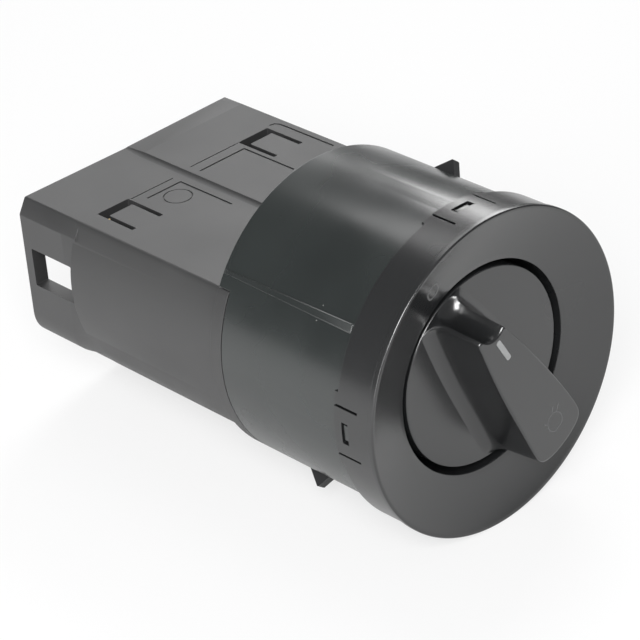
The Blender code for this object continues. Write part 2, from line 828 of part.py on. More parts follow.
def make_release_ring(material):
    """Cam ring: a spiral slot for each lug's peg and a notch for each dog."""
    ring = place("release_ring", tube("release_ring", ring_radius, ring_bore, ring_thickness, ring_steps),
                 material, y=ring_front)
    half = peg_radius + slide_gap
    steps = 12
    for angle in lug_angles.values():
        outer = []
        inner = []
        for i in range(-2, steps + 3):
            share = i / steps
            radius = peg_seat - lug_travel * share
            turn = angle - release_angle * share
            outer.append(polar(radius + half, turn))
            inner.append(polar(radius - half, turn))
        cut(ring, extruded("cam_slot", outer + inner[::-1], ring_thickness + 2 * gap), y=ring_front - gap)
    for flip in (0.0, 180.0):
        cut(ring, sector("dog_notch", ring_bore - end_gap, ring_bore + ring_notch_depth,
                         -ring_notch_half_angle, ring_notch_half_angle, ring_thickness + 2 * gap),
            y=ring_front - gap, angle=dog_angle + flip)
    return ring


def cavity_outline(spare):
    """Inside of the rear housing, pulled in by a clearance."""
    radius = cavity_radius - spare
    half_width = cavity_half_width - spare
    side = math.degrees(math.asin(half_width / radius))
    top = cavity_top - spare
    return [(-half_width, top), (half_width, top)] + arc(radius, 180.0 - side, 180.0 + side, 22)


def make_rear_housing(material):
    """Rear body: plug and collar, flat-topped body, connector shroud, tongues and rails."""
    body = housing_outline(housing_radius, top_height)
    housing = place("rear_housing", extruded("rear_housing", body, body_back - barrel_back + end_gap),
                    material, y=barrel_back - end_gap)
    add(housing, rod("plug", plug_radius, barrel_back - partition_front, round_steps), y=partition_front)
    collar = housing_outline(barrel_radius, collar_top)
    add(housing, extruded("collar", collar, hood_length - gap), y=barrel_side_length + gap)
    add(housing, extruded("shroud", shroud_outline(), shroud_length + 2 * end_gap), y=body_back - end_gap)
    add(housing, make_raised_half())
    cut(housing, block("end_trim", (-rim_radius, 0.0, -rim_radius), (rim_radius, 2 * end_gap, rim_radius)),
        y=shroud_back)
    add(housing, rod("hub", ring_bore - slide_gap, partition_front - ring_front + fine_gap + gap, bore_steps),
        y=ring_front - fine_gap)
    hollow = extruded("cavity", cavity_outline(0.0), shroud_back - partition_back + gap)
    cut(housing, hollow, y=partition_back)
    add_rails(housing)
    add_pull_ridge(housing)
    cut(housing, rod("bore", shaft_bore, partition_back - ring_front + 2 * end_gap, bore_steps),
        y=ring_front - end_gap)
    for side in (-1, 1):
        cut_side_window(housing, side)
        cut_tongue(housing, side)
    cut_top_grooves(housing)
    cut_board_pin_holes(housing, partition_front, partition_back)
    return housing


def housing_outline(radius, top):
    """Circle with a flat across its top."""
    corner = math.degrees(math.acos(top / radius))
    return arc(radius, corner, 360.0 - corner, 54)


def shroud_outline():
    """Connector shroud: flat sides, a shoulder under the top and rounded lower corners."""
    top_x = math.sqrt(housing_radius ** 2 - top_height ** 2)
    side = [(top_x, top_height), (shroud_half_width, shroud_shoulder), (shroud_half_width, -shroud_corner)]
    end_x, end_z = polar(housing_radius, shroud_corner_angle)
    bend = (shroud_half_width, -shroud_corner - (shroud_half_width - end_x))
    for i in range(1, 4):
        t = i / 4
        x = (1 - t) ** 2 * shroud_half_width + 2 * t * (1 - t) * bend[0] + t * t * end_x
        z = (1 - t) ** 2 * -shroud_corner + 2 * t * (1 - t) * bend[1] + t * t * end_z
        side.append((x, z))
    bottom = arc(housing_radius, shroud_corner_angle, 360.0 - shroud_corner_angle, 22)
    return side + bottom + [(-x, z) for x, z in reversed(side)]


def raised_section(rise, edge_rise):
    """Section of the raised half: a hollow riser, a level top and a far wall down into the body."""
    points = []
    for i in range(riser_steps + 1):
        turn = math.pi / 2 * i / riser_steps
        lift = (rise + raised_root) * (1 - math.cos(turn)) - raised_root
        points.append((riser_x - riser_width * (1 - math.sin(turn)), top_height + lift))
    foot = math.sqrt(housing_radius ** 2 - raised_edge ** 2) - end_gap
    points += [(raised_edge, top_height + edge_rise), (raised_edge, foot),
               (cavity_half_width + shroud_wall / 4, cavity_top + top_wall / 4),
               (riser_x - riser_width, cavity_top + top_wall / 2)]
    return points


def make_raised_half():
    """Upper level of the top on the passenger's side, with a far edge and a ramp down at the back."""
    bm = bmesh.new()
    rings = []
    for y, rise, edge_rise in ((barrel_back + gap, riser_rise, raised_edge_rise),
                               (shroud_back - raised_ramp, riser_rise, raised_edge_rise),
                               (shroud_back + gap, riser_back_rise, raised_edge_back_rise)):
        rings.append([bm.verts.new((x, y, z)) for x, z in raised_section(rise, edge_rise)])
    for front, back in zip(rings, rings[1:]):
        for i in range(len(front)):
            j = (i + 1) % len(front)
            bm.faces.new((front[i], front[j], back[j], back[i]))
    bm.faces.new(rings[0])
    bm.faces.new(rings[-1])
    return mesh_from(bm, "raised_half")


def add_rails(housing):
    """Two pairs of rails that the carriage runs between."""
    inner = carriage_half_height + slide_gap
    for side in (-1, 1):
        for level in (-1, 1):
            near = side * rail_reach
            far = side * (math.sqrt(cavity_radius ** 2 - inner ** 2) + housing_wall / 2)
            far = max(min(far, cavity_half_width + shroud_wall / 2), -cavity_half_width - shroud_wall / 2)
            low = level * inner
            high = level * (inner + rail_thickness)
            add(housing, block("rail", (min(near, far), partition_back - gap, min(low, high)),
                               (max(near, far), rotor_front - gap, max(low, high))))


def add_pull_ridge(housing):
    """Notched ridge under the top that the carriage's leaf spring runs along."""
    stages = 3
    pitch = knob_out / (stages - 1)
    nose = pull_nose_y()
    half = leaf_width / 2
    add(housing, block("pull_ridge", (pull_leaf_x - half, nose - knob_out - 2 * pull_notch_half,
                                      cavity_top - pull_ridge_depth),
                       (pull_leaf_x + half, nose + 2 * pull_notch_half, cavity_top + top_wall / 2)))
    for i in range(stages):
        middle = nose - i * pitch
        low = cavity_top - pull_ridge_depth - gap
        outline = [(middle - pull_notch_half, low), (middle, low + pull_ridge_depth),
                   (middle + pull_notch_half, low)]
        cut(housing, plate("pull_notch", outline, half + gap), x=pull_leaf_x)


def pull_nose_y():
    """Place of the pull leaf's nose at rest."""
    return carriage_front + carriage_length / 2


def cut_side_window(housing, side):
    """Latch window in the shroud's side wall."""
    near = cavity_half_width - end_gap
    far = shroud_half_width + end_gap
    low_x, high_x = sorted((side * near, side * far))
    front = body_back + side_window_front
    cut(housing, block("side_window", (low_x, front, side_window_low),
                       (high_x, front + side_window_length, side_window_high)))


def tongue_place(side):
    """Middle of a tongue across the top, and where its slot ends towards the back."""
    if side > 0:
        return far_tongue_x, far_tongue_back
    return -near_tongue_x, near_tongue_back


def cut_tongue(housing, side):
    """U-shaped slot that frees a snap tongue, with a hook under the tongue's end."""
    middle, back = tongue_place(side)
    low = cavity_top - end_gap
    high = top_height + raised_edge_rise + end_gap
    cut(housing, block("tongue_end", (middle - tongue_half_width, back - tongue_end_slot, low),
                       (middle + tongue_half_width, back, high)))
    for leg in (-1, 1):
        edge = middle + leg * tongue_half_width
        low_x, high_x = sorted((edge, edge - leg * tongue_slot))
        cut(housing, block("tongue_leg", (low_x, back - tongue_length, low), (high_x, back - gap, high)))
    hook_back = back - tongue_end_slot - fine_gap
    add(housing, block("hook", (middle - hook_half_width, hook_back - hook_length, cavity_top - hook_depth),
                       (middle + hook_half_width, hook_back, cavity_top + top_wall / 2)))


def raised_height(x):
    """Height of the raised half's surface at a place across it."""
    share = (x - riser_x) / (raised_edge - riser_x)
    return top_height + riser_rise + (raised_edge_rise - riser_rise) * share


def groove(housing, x0, y0, x1, y1, width):
    """Straight shallow groove in the top, at whichever level lies under it."""
    half = width / 2
    level = raised_height((x0 + x1) / 2) if x0 > riser_x else top_height
    cut(housing, block("groove", (min(x0, x1) - half, min(y0, y1) - half, level - groove_depth),
                       (max(x0, x1) + half, max(y0, y1) + half, level + end_gap)))


def cut_top_grooves(housing):
    """Shallow moulding lines round the tongues, and a ring mark."""
    line_y = near_tongue_back - 2 * fine_groove_width
    for side in (-1, 1):
        middle, back = tongue_place(side)
        corner_y = back - line_margin
        leg_front = near_tongue_back - line_margin - line_setback
        near_x = riser_x + 2 * end_gap if side > 0 else -end_gap - riser_width
        groove(housing, near_x, line_y, middle - side * (tongue_half_width + gap), line_y, fine_groove_width)
        if side < 0:
            groove(housing, low_line_near, corner_y, low_line_far, corner_y, groove_width)
            groove(housing, low_line_far, leg_front, low_line_far, corner_y, groove_width)
        else:
            edge_x = raised_edge - edge_line_inset
            groove(housing, near_x, corner_y, raised_line_x, corner_y, groove_width)
            groove(housing, raised_line_x, leg_front, raised_line_x, corner_y, groove_width)
            groove(housing, edge_x, leg_front, edge_x, back, groove_width)
    half = fine_groove_width / 2
    mark = tube("ring_mark", ring_mark_radius + half, ring_mark_radius - half, groove_depth + end_gap, 16)
    tool = cut(housing, mark, x=ring_mark_x, y=ring_mark_y, z=top_height - groove_depth)
    tool.rotation_euler = (math.radians(90.0), 0.0, 0.0)


def make_carriage(materials):
    """Slider that follows the knob outwards without turning, with its leaf and its contact."""
    half_height = carriage_half_height
    reach = math.sqrt(cavity_radius ** 2 - half_height ** 2)
    half_width = min(reach, cavity_half_width) - gap
    carriage = place("pull_carriage", block("pull_carriage", (-half_width, 0.0, -half_height),
                                            (half_width, carriage_length, half_height)),
                     materials["inner"], y=carriage_front)
    add(carriage, block("leg", (-carriage_leg_half_width, leg_setback, -carriage_leg),
                        (carriage_leg_half_width, carriage_length - leg_setback, -half_height + end_gap)),
        y=carriage_front)
    cut(carriage, rod("bore", tail_bore, carriage_length + 2 * gap), y=carriage_front - gap)
    leaf_low = half_height + gap + leaf_thickness / 2
    nose = pull_nose_y()
    peak = cavity_top - pull_ridge_depth + leaf_thickness
    half_span = pull_leaf_span / 2
    shoulder = peak - leaf_thickness
    path = [(-half_span, leaf_low), (-half_span * 0.62, leaf_low), (-half_span * 0.2, shoulder), (0.0, peak),
            (half_span * 0.2, shoulder), (half_span * 0.62, leaf_low), (half_span, leaf_low)]
    place("pull_detent_spring", strip("pull_detent_spring", path, leaf_thickness, leaf_width - 2 * gap),
          materials["steel"], x=pull_leaf_x, y=nose)
    track_top = pull_track_top()
    top = -carriage_leg - gap - contact_strip / 2
    low = track_top + gap + contact_strip / 2
    path = [(-slider_half_span, low + tip_lift), (-slider_foot, low), (-slider_heel, low),
            (-slider_crown, top), (slider_crown, top), (slider_heel, low), (slider_foot, low),
            (slider_half_span, low + tip_lift)]
    place("slider_contact", strip("slider_contact", path, contact_strip, rotor_contact_width),
          materials["brass"], y=nose)


def pull_track_top():
    """Height of the pull track's upper face, just inside the housing's bottom."""
    half = rotor_contact_width / 2 + gap
    return -math.sqrt(cavity_radius ** 2 - half ** 2) + gap + track_thickness


def make_rotor(materials):
    """Turning contact carrier with a wing below, whose rim has a detent notch for each stage."""
    profile = [
        (0.0, rotor_front),
        (rotor_core_radius, rotor_front),
        (rotor_core_radius, rotor_back),
        (rotor_hub_radius, rotor_back),
        (rotor_hub_radius, track_back),
        (0.0, track_back),
    ]
    rotor = place("contact_rotor", turned("contact_rotor", profile, ring_steps), materials["pale"])
    add(rotor, sector("wing", rotor_core_radius - end_gap, rotor_radius, *rotor_wing, rotor_thickness, 40),
        y=rotor_front)
    section = shaft_outline(tail_radius, tail_flat, slide_gap)
    cut(rotor, extruded("square_hole", section, track_back - rotor_front + 2 * gap), y=rotor_front - gap,
        angle=knob_rest_angle)
    for stage in range(turn_stages + 1):
        outline = [(-rotor_notch_half, rotor_radius + gap), (0.0, rotor_radius - rotor_notch_depth),
                   (rotor_notch_half, rotor_radius + gap)]
        cut(rotor, extruded("notch", outline, rotor_thickness + 2 * gap), y=rotor_front - gap,
            angle=rotor_detent_angle - stage * turn_step)
    make_turn_leaf(materials["steel"])
    seat = contact_strip / 2
    half = rotor_contact_half_length
    path = [(-half, contact_height - contact_tip_lift), (-half * 0.86, contact_height - seat),
            (-half * 0.7, contact_height - seat), (-half * 0.35, seat), (half * 0.35, seat),
            (half * 0.7, contact_height - seat), (half * 0.86, contact_height - seat),
            (half, contact_height - contact_tip_lift)]
    for i, angle in enumerate(rotor_contact_angles):
        name = "rotor_contact_%d" % (i + 1)
        mesh = strip(name, path, contact_strip, rotor_contact_width)
        mesh.transform(Matrix(((0, 1, 0, 0), (0, 0, 1, 0), (1, 0, 0, rotor_contact_radius), (0, 0, 0, 1))))
        place(name, mesh, materials["brass"], y=rotor_back + gap, angle=angle)


def make_turn_leaf(material):
    """Bent leaf held against the housing wall, with its nose in a rotor notch."""
    wall = math.sqrt(cavity_radius ** 2 - turn_leaf_half_span ** 2) - gap - leaf_thickness
    nose = rotor_radius - rotor_notch_depth + gap + leaf_thickness
    outline = [(-turn_leaf_half_span, wall), (-turn_leaf_half_span * 0.8, wall - gap),
               (-turn_leaf_half_span * 0.22, nose + turn_leaf_bend), (0.0, nose),
               (turn_leaf_half_span * 0.22, nose + turn_leaf_bend), (turn_leaf_half_span * 0.8, wall - gap),
               (turn_leaf_half_span, wall)]
    mesh = strip("turn_detent_spring", outline, leaf_thickness, leaf_width)
    mesh.transform(Matrix(((0, 1, 0, 0), (1, 0, 0, 0), (0, 0, 1, 0), (0, 0, 0, 1))))
    mesh.flip_normals()
    place("turn_detent_spring", mesh, material, y=rotor_front + rotor_thickness / 2, angle=rotor_detent_angle)


def make_carrier(materials):
    """Insulating base: plate, rim, shaft pocket, terminal block and two stop fingers."""
    carrier = place("contact_carrier", extruded("contact_carrier", cavity_outline(gap), carrier_plate),
                    materials["inner"], y=carrier_front)
    rim = extruded("rim", cavity_outline(gap), carrier_rim_length + gap)
    add(carrier, rim, y=carrier_back - gap)
    hollow = extruded("hollow", cavity_outline(gap + carrier_rim_wall), carrier_rim_length + 2 * gap)
    cut(carrier, hollow, y=carrier_back)
    add(carrier, block("terminal_block", (-block_half_width, -gap, -block_half_height),
                       (block_half_width, block_length, block_half_height)), y=carrier_back)
    bearing = tube("bearing", rotor_hub_radius + slide_gap + bearing_wall, rotor_hub_radius + slide_gap,
                   carrier_front - track_front + end_gap, bore_steps)
    add(carrier, bearing, y=track_front - gap)
    for side in (-1, 1):
        outer = side * (cavity_half_width - gap)
        inner = outer - side * carrier_finger_width
        low_x, high_x = sorted((outer, inner))
        add(carrier, block("finger", (low_x, carriage_back + gap, -carrier_finger_half_height),
                           (high_x, carrier_front + gap, carrier_finger_half_height)))
        middle, back = tongue_place(side)
        hook_back = back - tongue_end_slot - fine_gap
        spare = gap + slide_gap
        cut(carrier, block("hook_pocket", (middle - hook_half_width - spare, hook_back - hook_length - spare,
                                           cavity_top - hook_depth - spare),
                           (middle + hook_half_width + spare, hook_back + spare, cavity_top + gap)))
    cut(carrier, rod("shaft_pocket", tail_bore, pocket_back - carrier_front + gap), y=carrier_front - gap)
    for place_xz in terminal_places():
        half_w = terminal_width / 2 + fine_gap
        half_t = terminal_thickness / 2 + fine_gap
        x, z = place_xz
        cut(carrier, block("terminal_slot", (x - half_w, carrier_front - gap, z - half_t),
                           (x + half_w, block_back + gap, z + half_t)))
    return carrier


def terminal_places():
    """X and Z of each terminal, row by row."""
    start = -terminal_pitch * (terminal_columns - 1) / 2
    columns = [start + column * terminal_pitch for column in range(terminal_columns)]
    return [(x, z) for z in terminal_rows for x in columns]


def make_terminals(material):
    """Flat blades that stand in the connector shroud, with pointed tips."""
    half_w = terminal_width / 2
    half_t = terminal_thickness / 2
    length = block_back + terminal_reach - carrier_front
    bm = bmesh.new()
    bmesh.ops.create_cube(bm, size=1.0, matrix=Matrix.Translation((0.0, (length - terminal_tip) / 2, 0.0))
                          @ Matrix.Diagonal((terminal_width, length - terminal_tip, terminal_thickness, 1.0)))
    end = [face for face in bm.faces if face.normal.y > 0.5]
    grown = bmesh.ops.extrude_face_region(bm, geom=end)
    moved = [item for item in grown["geom"] if isinstance(item, bmesh.types.BMVert)]
    bmesh.ops.translate(bm, verts=moved, vec=(0.0, terminal_tip, 0.0))
    for vert in moved:
        vert.co.x *= (half_w - gap) / half_w
        vert.co.z *= gap / half_t
    bmesh.ops.delete(bm, geom=end, context="FACES_ONLY")
    mesh = mesh_from(bm, "terminal")
    for i, (x, z) in enumerate(terminal_places()):
        place("terminal_%02d" % (i + 1), mesh, material, x=x, y=carrier_front, z=z)


def make_tracks(material):
    """Arcs that the rotor's contacts wipe, and the straight track under the carriage."""
    inner = rotor_contact_radius - track_half_width
    outer = rotor_contact_radius + track_half_width
    for i, (first, last) in enumerate(track_spans):
        name = "contact_track_%d" % (i + 1)
        place(name, sector(name, inner, outer, first, last, track_thickness, 10), material, y=track_front)
    top = pull_track_top()
    front = carriage_front - knob_out
    half = rotor_contact_width / 2
    bar = block("pull_track", (-half, front, top - track_thickness), (half, carrier_front - gap, top))
    place("pull_track", bar, material)


def make_lights(materials):
    """Lamp board behind the face, its lamps, the light guide and the board's two supply pins."""
    board_back = bulkhead_front - sleeve_length - gap
    board_front = board_back - board_thickness
    inner = collar_radius + board_inner_margin
    outer = barrel_inner - board_wall_gap
    board = place("circuit_board", tube("circuit_board", outer, inner, board_thickness, ring_steps),
                  materials["board"], y=board_front)
    middle = (inner + outer) / 2
    lamp_front = board_front - gap - lamp_height
    for i, angle in enumerate(lamp_angles):
        name = "lamp_%d" % (i + 1)
        body = block(name, (-lamp_length / 2, 0.0, middle - lamp_width / 2),
                     (lamp_length / 2, lamp_height, middle + lamp_width / 2))
        place(name, body, materials["white"], y=lamp_front, angle=angle)
    guide_back_y = lamp_front - gap
    guide = tube("light_guide", light_guide_outer, collar_radius + gap, guide_ring_thickness, ring_steps)
    place("light_guide", guide, materials["clear"], y=guide_back_y - guide_ring_thickness)
    half = board_pin_side / 2
    for i, angle in enumerate(board_pin_angles):
        name = "board_pin_%d" % (i + 1)
        pin = block(name, (-half, 0.0, board_pin_circle - half),
                    (half, carrier_front - gap - board_back - gap, board_pin_circle + half))
        place(name, pin, materials["brass"], y=board_back + gap, angle=angle)
    return board


def build():
    clear_scene()
    materials = make_materials()
    make_bezel(materials["satin"])
    make_barrel(materials["gloss"])
    make_rear_housing(materials["matt"])
    make_knob(materials["satin"])
    make_indicator(materials["white"])
    make_shaft(materials["pale"])
    make_push_stack(materials)
    make_lugs(materials)
    make_release_ring(materials["inner"])
    make_carriage(materials)
    make_rotor(materials)
    make_carrier(materials)
    make_terminals(materials["brass"])
    make_tracks(materials["brass"])
    make_lights(materials)


build()
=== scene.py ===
import json
import math

import bmesh
import bpy
from mathutils import Matrix, Vector


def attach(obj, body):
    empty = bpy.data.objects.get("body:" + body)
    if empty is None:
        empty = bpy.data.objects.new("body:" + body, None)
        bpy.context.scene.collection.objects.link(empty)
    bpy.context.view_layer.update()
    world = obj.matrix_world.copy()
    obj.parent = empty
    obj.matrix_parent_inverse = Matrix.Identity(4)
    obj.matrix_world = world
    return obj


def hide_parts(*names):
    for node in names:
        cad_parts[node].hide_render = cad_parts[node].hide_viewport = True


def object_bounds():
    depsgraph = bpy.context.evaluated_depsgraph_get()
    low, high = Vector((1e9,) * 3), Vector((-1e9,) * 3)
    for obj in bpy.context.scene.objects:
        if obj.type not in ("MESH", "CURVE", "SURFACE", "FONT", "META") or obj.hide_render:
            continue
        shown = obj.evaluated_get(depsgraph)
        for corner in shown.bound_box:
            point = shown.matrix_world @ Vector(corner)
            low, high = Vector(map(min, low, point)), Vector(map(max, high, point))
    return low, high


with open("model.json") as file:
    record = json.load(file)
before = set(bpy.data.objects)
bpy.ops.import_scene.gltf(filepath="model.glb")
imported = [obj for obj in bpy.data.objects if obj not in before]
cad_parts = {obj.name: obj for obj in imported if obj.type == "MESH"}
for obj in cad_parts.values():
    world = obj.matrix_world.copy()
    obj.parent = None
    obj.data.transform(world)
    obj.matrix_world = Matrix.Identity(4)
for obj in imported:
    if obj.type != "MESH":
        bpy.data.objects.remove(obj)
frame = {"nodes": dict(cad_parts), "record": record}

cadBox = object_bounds()
mm = 0.001
nodes = frame["nodes"]
outside = 40 * mm  # past the switch on every side, for cutting tools


# Helpers for shapes. Angles are in degrees, clockwise from the top as the driver sees the face

def around(radius, angle):
    turn = math.radians(angle)
    return radius * math.sin(turn), radius * math.cos(turn)


def arcPoints(radius, first, last, steps):
    return [around(radius, first + (last - first) * i / steps) for i in range(steps + 1)]


def roundCorners(corners, steps=5):
    # corners are (a, b, radius); the loop is closed
    made = []
    count = len(corners)
    for i, (a, b, radius) in enumerate(corners):
        here = Vector((a, b))
        if radius <= 0:
            made.append((a, b))
            continue
        before = Vector(corners[i - 1][:2]) - here
        after = Vector(corners[(i + 1) % count][:2]) - here
        half = before.angle(after) / 2
        reach = min(radius / math.tan(half), before.length * 0.49, after.length * 0.49)
        start = here + before.normalized() * reach
        end = here + after.normalized() * reach
        for k in range(steps + 1):
            t = k / steps
            spot = start * (1 - t) ** 2 + here * 2 * t * (1 - t) + end * t ** 2
            made.append((spot.x, spot.y))
    return made


mergeDistance = 1e-7


def meshFrom(bm, name):
    bmesh.ops.remove_doubles(bm, verts=bm.verts, dist=mergeDistance)
    bmesh.ops.recalc_face_normals(bm, faces=bm.faces)
    mesh = bpy.data.meshes.new(name)
    bm.to_mesh(mesh)
    bm.free()
    return mesh


def objectFrom(mesh, name, y=0.0, angle=0.0, x=0.0, z=0.0):
    made = bpy.data.objects.new(name, mesh)
    bpy.context.scene.collection.objects.link(made)
    made.location = (x, y, z)
    made.rotation_euler = (0.0, math.radians(angle), 0.0)
    return made


def pullOut(bm, points, shift):
    # closed body between a flat outline and its copy moved by shift
    face = bm.faces.new([bm.verts.new(point) for point in points])
    grown = bmesh.ops.extrude_face_region(bm, geom=[face])
    moved = [item for item in grown["geom"] if isinstance(item, bmesh.types.BMVert)]
    bmesh.ops.translate(bm, verts=moved, vec=shift)


def bridge(bm, rings, capped=True):
    # walls between rings of points, and a face over each end
    for one, two in zip(rings, rings[1:]):
        for i in range(len(one)):
            j = (i + 1) % len(one)
            bm.faces.new((one[i], one[j], two[j], two[i]))
    if capped:
        bm.faces.new(rings[0])
        bm.faces.new(rings[-1])


def spun(name, loop, steps, **where):
    # loop of (radius, y) points turned round the switch's axis
    bm = bmesh.new()
    points = [bm.verts.new((radius, y, 0.0)) for radius, y in loop]
    edges = [bm.edges.new((points[i - 1], points[i])) for i in range(len(points))]
    bmesh.ops.spin(bm, geom=points + edges, axis=(0.0, 1.0, 0.0), cent=(0.0, 0.0, 0.0),
                   steps=steps, angle=math.tau, use_merge=True)
    return objectFrom(meshFrom(bm, name), name, **where)


def rod(name, radius, front, back, steps, **where):
    return spun(name, [(0.0, front), (radius, front), (radius, back), (0.0, back)], steps, **where)


def drawn(name, outline, length, **where):
    # outline of (x, z) points drawn out along the axis
    bm = bmesh.new()
    pullOut(bm, [(x, 0.0, z) for x, z in outline], (0.0, length, 0.0))
    return objectFrom(meshFrom(bm, name), name, **where)


def sidePlate(name, outline, half, both=False, **where):
    # outline of (y, z) points given a thickness across X
    bm = bmesh.new()
    for side in ((1, -1) if both else (1,)):
        pullOut(bm, [(-half, y, side * z) for y, z in outline], (2 * half, 0.0, 0.0))
    return objectFrom(meshFrom(bm, name), name, **where)


def brick(name, low, high, **where):
    bm = bmesh.new()
    size = [high[i] - low[i] for i in range(3)]
    middle = [(high[i] + low[i]) / 2 for i in range(3)]
    bmesh.ops.create_cube(bm, size=1.0, matrix=Matrix.Translation(middle) @ Matrix.Diagonal((*size, 1.0)))
    return objectFrom(meshFrom(bm, name), name, **where)


def ringPiece(name, inner, outer, first, last, length, steps, **where):
    outline = arcPoints(outer, first, last, steps) + arcPoints(inner, last, first, steps)
    return drawn(name, outline, length, **where)


def linePath(points, width):
    # outline of an open path of (x, y) points with a width
    sides = []
    for i, spot in enumerate(points):
        here = Vector(spot)
        before = Vector(points[max(i - 1, 0)])
        after = Vector(points[min(i + 1, len(points) - 1)])
        back = (here - before).normalized() if i else (after - here).normalized()
        ahead = (after - here).normalized() if i < len(points) - 1 else back
        normal = Vector((-(back + ahead).y, (back + ahead).x)).normalized()
        reach = width / 2 / max(normal.dot(Vector((-back.y, back.x))), 0.4)
        sides.append((here + normal * reach, here - normal * reach))
    return [tuple(side[0]) for side in sides] + [tuple(side[1]) for side in reversed(sides)]


def settle(piece):
    # bakes the modifiers and the place into the mesh
    bpy.context.view_layer.update()
    graph = bpy.context.evaluated_depsgraph_get()
    made = bpy.data.meshes.new_from_object(piece.evaluated_get(graph))
    made.transform(piece.matrix_world)
    old = piece.data
    piece.modifiers.clear()
    piece.data = made
    piece.location = (0.0, 0.0, 0.0)
    piece.rotation_euler = (0.0, 0.0, 0.0)
    bpy.data.meshes.remove(old)
    return piece


def work(piece, operation, tools, solver="EXACT"):
    for tool in tools:
        step = piece.modifiers.new(tool.name, "BOOLEAN")
        step.operation = operation
        step.solver = solver
        step.object = tool
    settle(piece)
    for tool in tools:
        bpy.data.objects.remove(tool, do_unlink=True)
    return piece


def cutOut(piece, *tools):
    return work(piece, "DIFFERENCE", tools)


def joinOn(piece, *tools):
    return work(piece, "UNION", tools)


flatTolerance = 0.4  # degrees


def fence(mesh, flats):
    # marks the borders of flat faces sharp, so that they shade flat beside rounded ones
    limit = math.cos(math.radians(flatTolerance))
    bm = bmesh.new()
    bm.from_mesh(mesh)
    for edge in bm.edges:
        sides = []
        for face in edge.link_faces:
            hits = [i for i, flat in enumerate(flats) if face.normal.dot(flat) > limit]
            sides.append(hits[0] if hits else -1)
        if len(sides) == 2 and sides[0] != sides[1]:
            edge.smooth = False
    bm.to_mesh(mesh)
    bm.free()


def finishPiece(piece, finish, body, *standsFor, sharp=34.0, slot=None, flats=()):
    mesh = piece.data
    mesh.materials.clear()
    mesh.materials.append(finish)
    mesh.shade_smooth()
    mesh.set_sharp_from_angle(angle=math.radians(sharp))
    if flats:
        fence(mesh, [Vector(flat).normalized() for flat in flats])
    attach(piece, body)
    if standsFor:
        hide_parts(*standsFor)
    return piece


# Finishes

def addNode(tree, kind, **values):
    node = tree.nodes.new(kind)
    for name, value in values.items():
        setattr(node, name, value)
    return node


def noiseAt(tree, place, scale, detail=3.0, roughness=0.5, distortion=0.0):
    noise = addNode(tree, "ShaderNodeTexNoise")
    noise.inputs["Scale"].default_value = scale
    noise.inputs["Detail"].default_value = detail
    noise.inputs["Roughness"].default_value = roughness
    noise.inputs["Distortion"].default_value = distortion
    tree.links.new(place, noise.inputs["Vector"])
    return noise.outputs["Fac"]


def spread(tree, source, low, high, fromLow=0.3, fromHigh=0.7):
    step = addNode(tree, "ShaderNodeMapRange")
    step.inputs["From Min"].default_value = fromLow
    step.inputs["From Max"].default_value = fromHigh
    step.inputs["To Min"].default_value = low
    step.inputs["To Max"].default_value = high
    tree.links.new(source, step.inputs["Value"])
    return step.outputs["Result"]


def blendColours(tree, share, first, second):
    mix = addNode(tree, "ShaderNodeMix", data_type="RGBA")
    for socket, colour in ((mix.inputs[6], first), (mix.inputs[7], second)):
        if isinstance(colour, tuple):
            socket.default_value = (*colour, 1.0)
        else:
            tree.links.new(colour, socket)
    tree.links.new(share, mix.inputs[0])
    return mix.outputs[2]


bevelSamples = 6
wearTurn = (0.8, 0.97)  # how far the rounded normal agrees with the face, at a bare edge and off it
dustLook = {"colour": (0.45, 0.45, 0.43), "size": (0.02, 0.05), "patchScale": 0.21, "patches": (0.58, 0.64)}


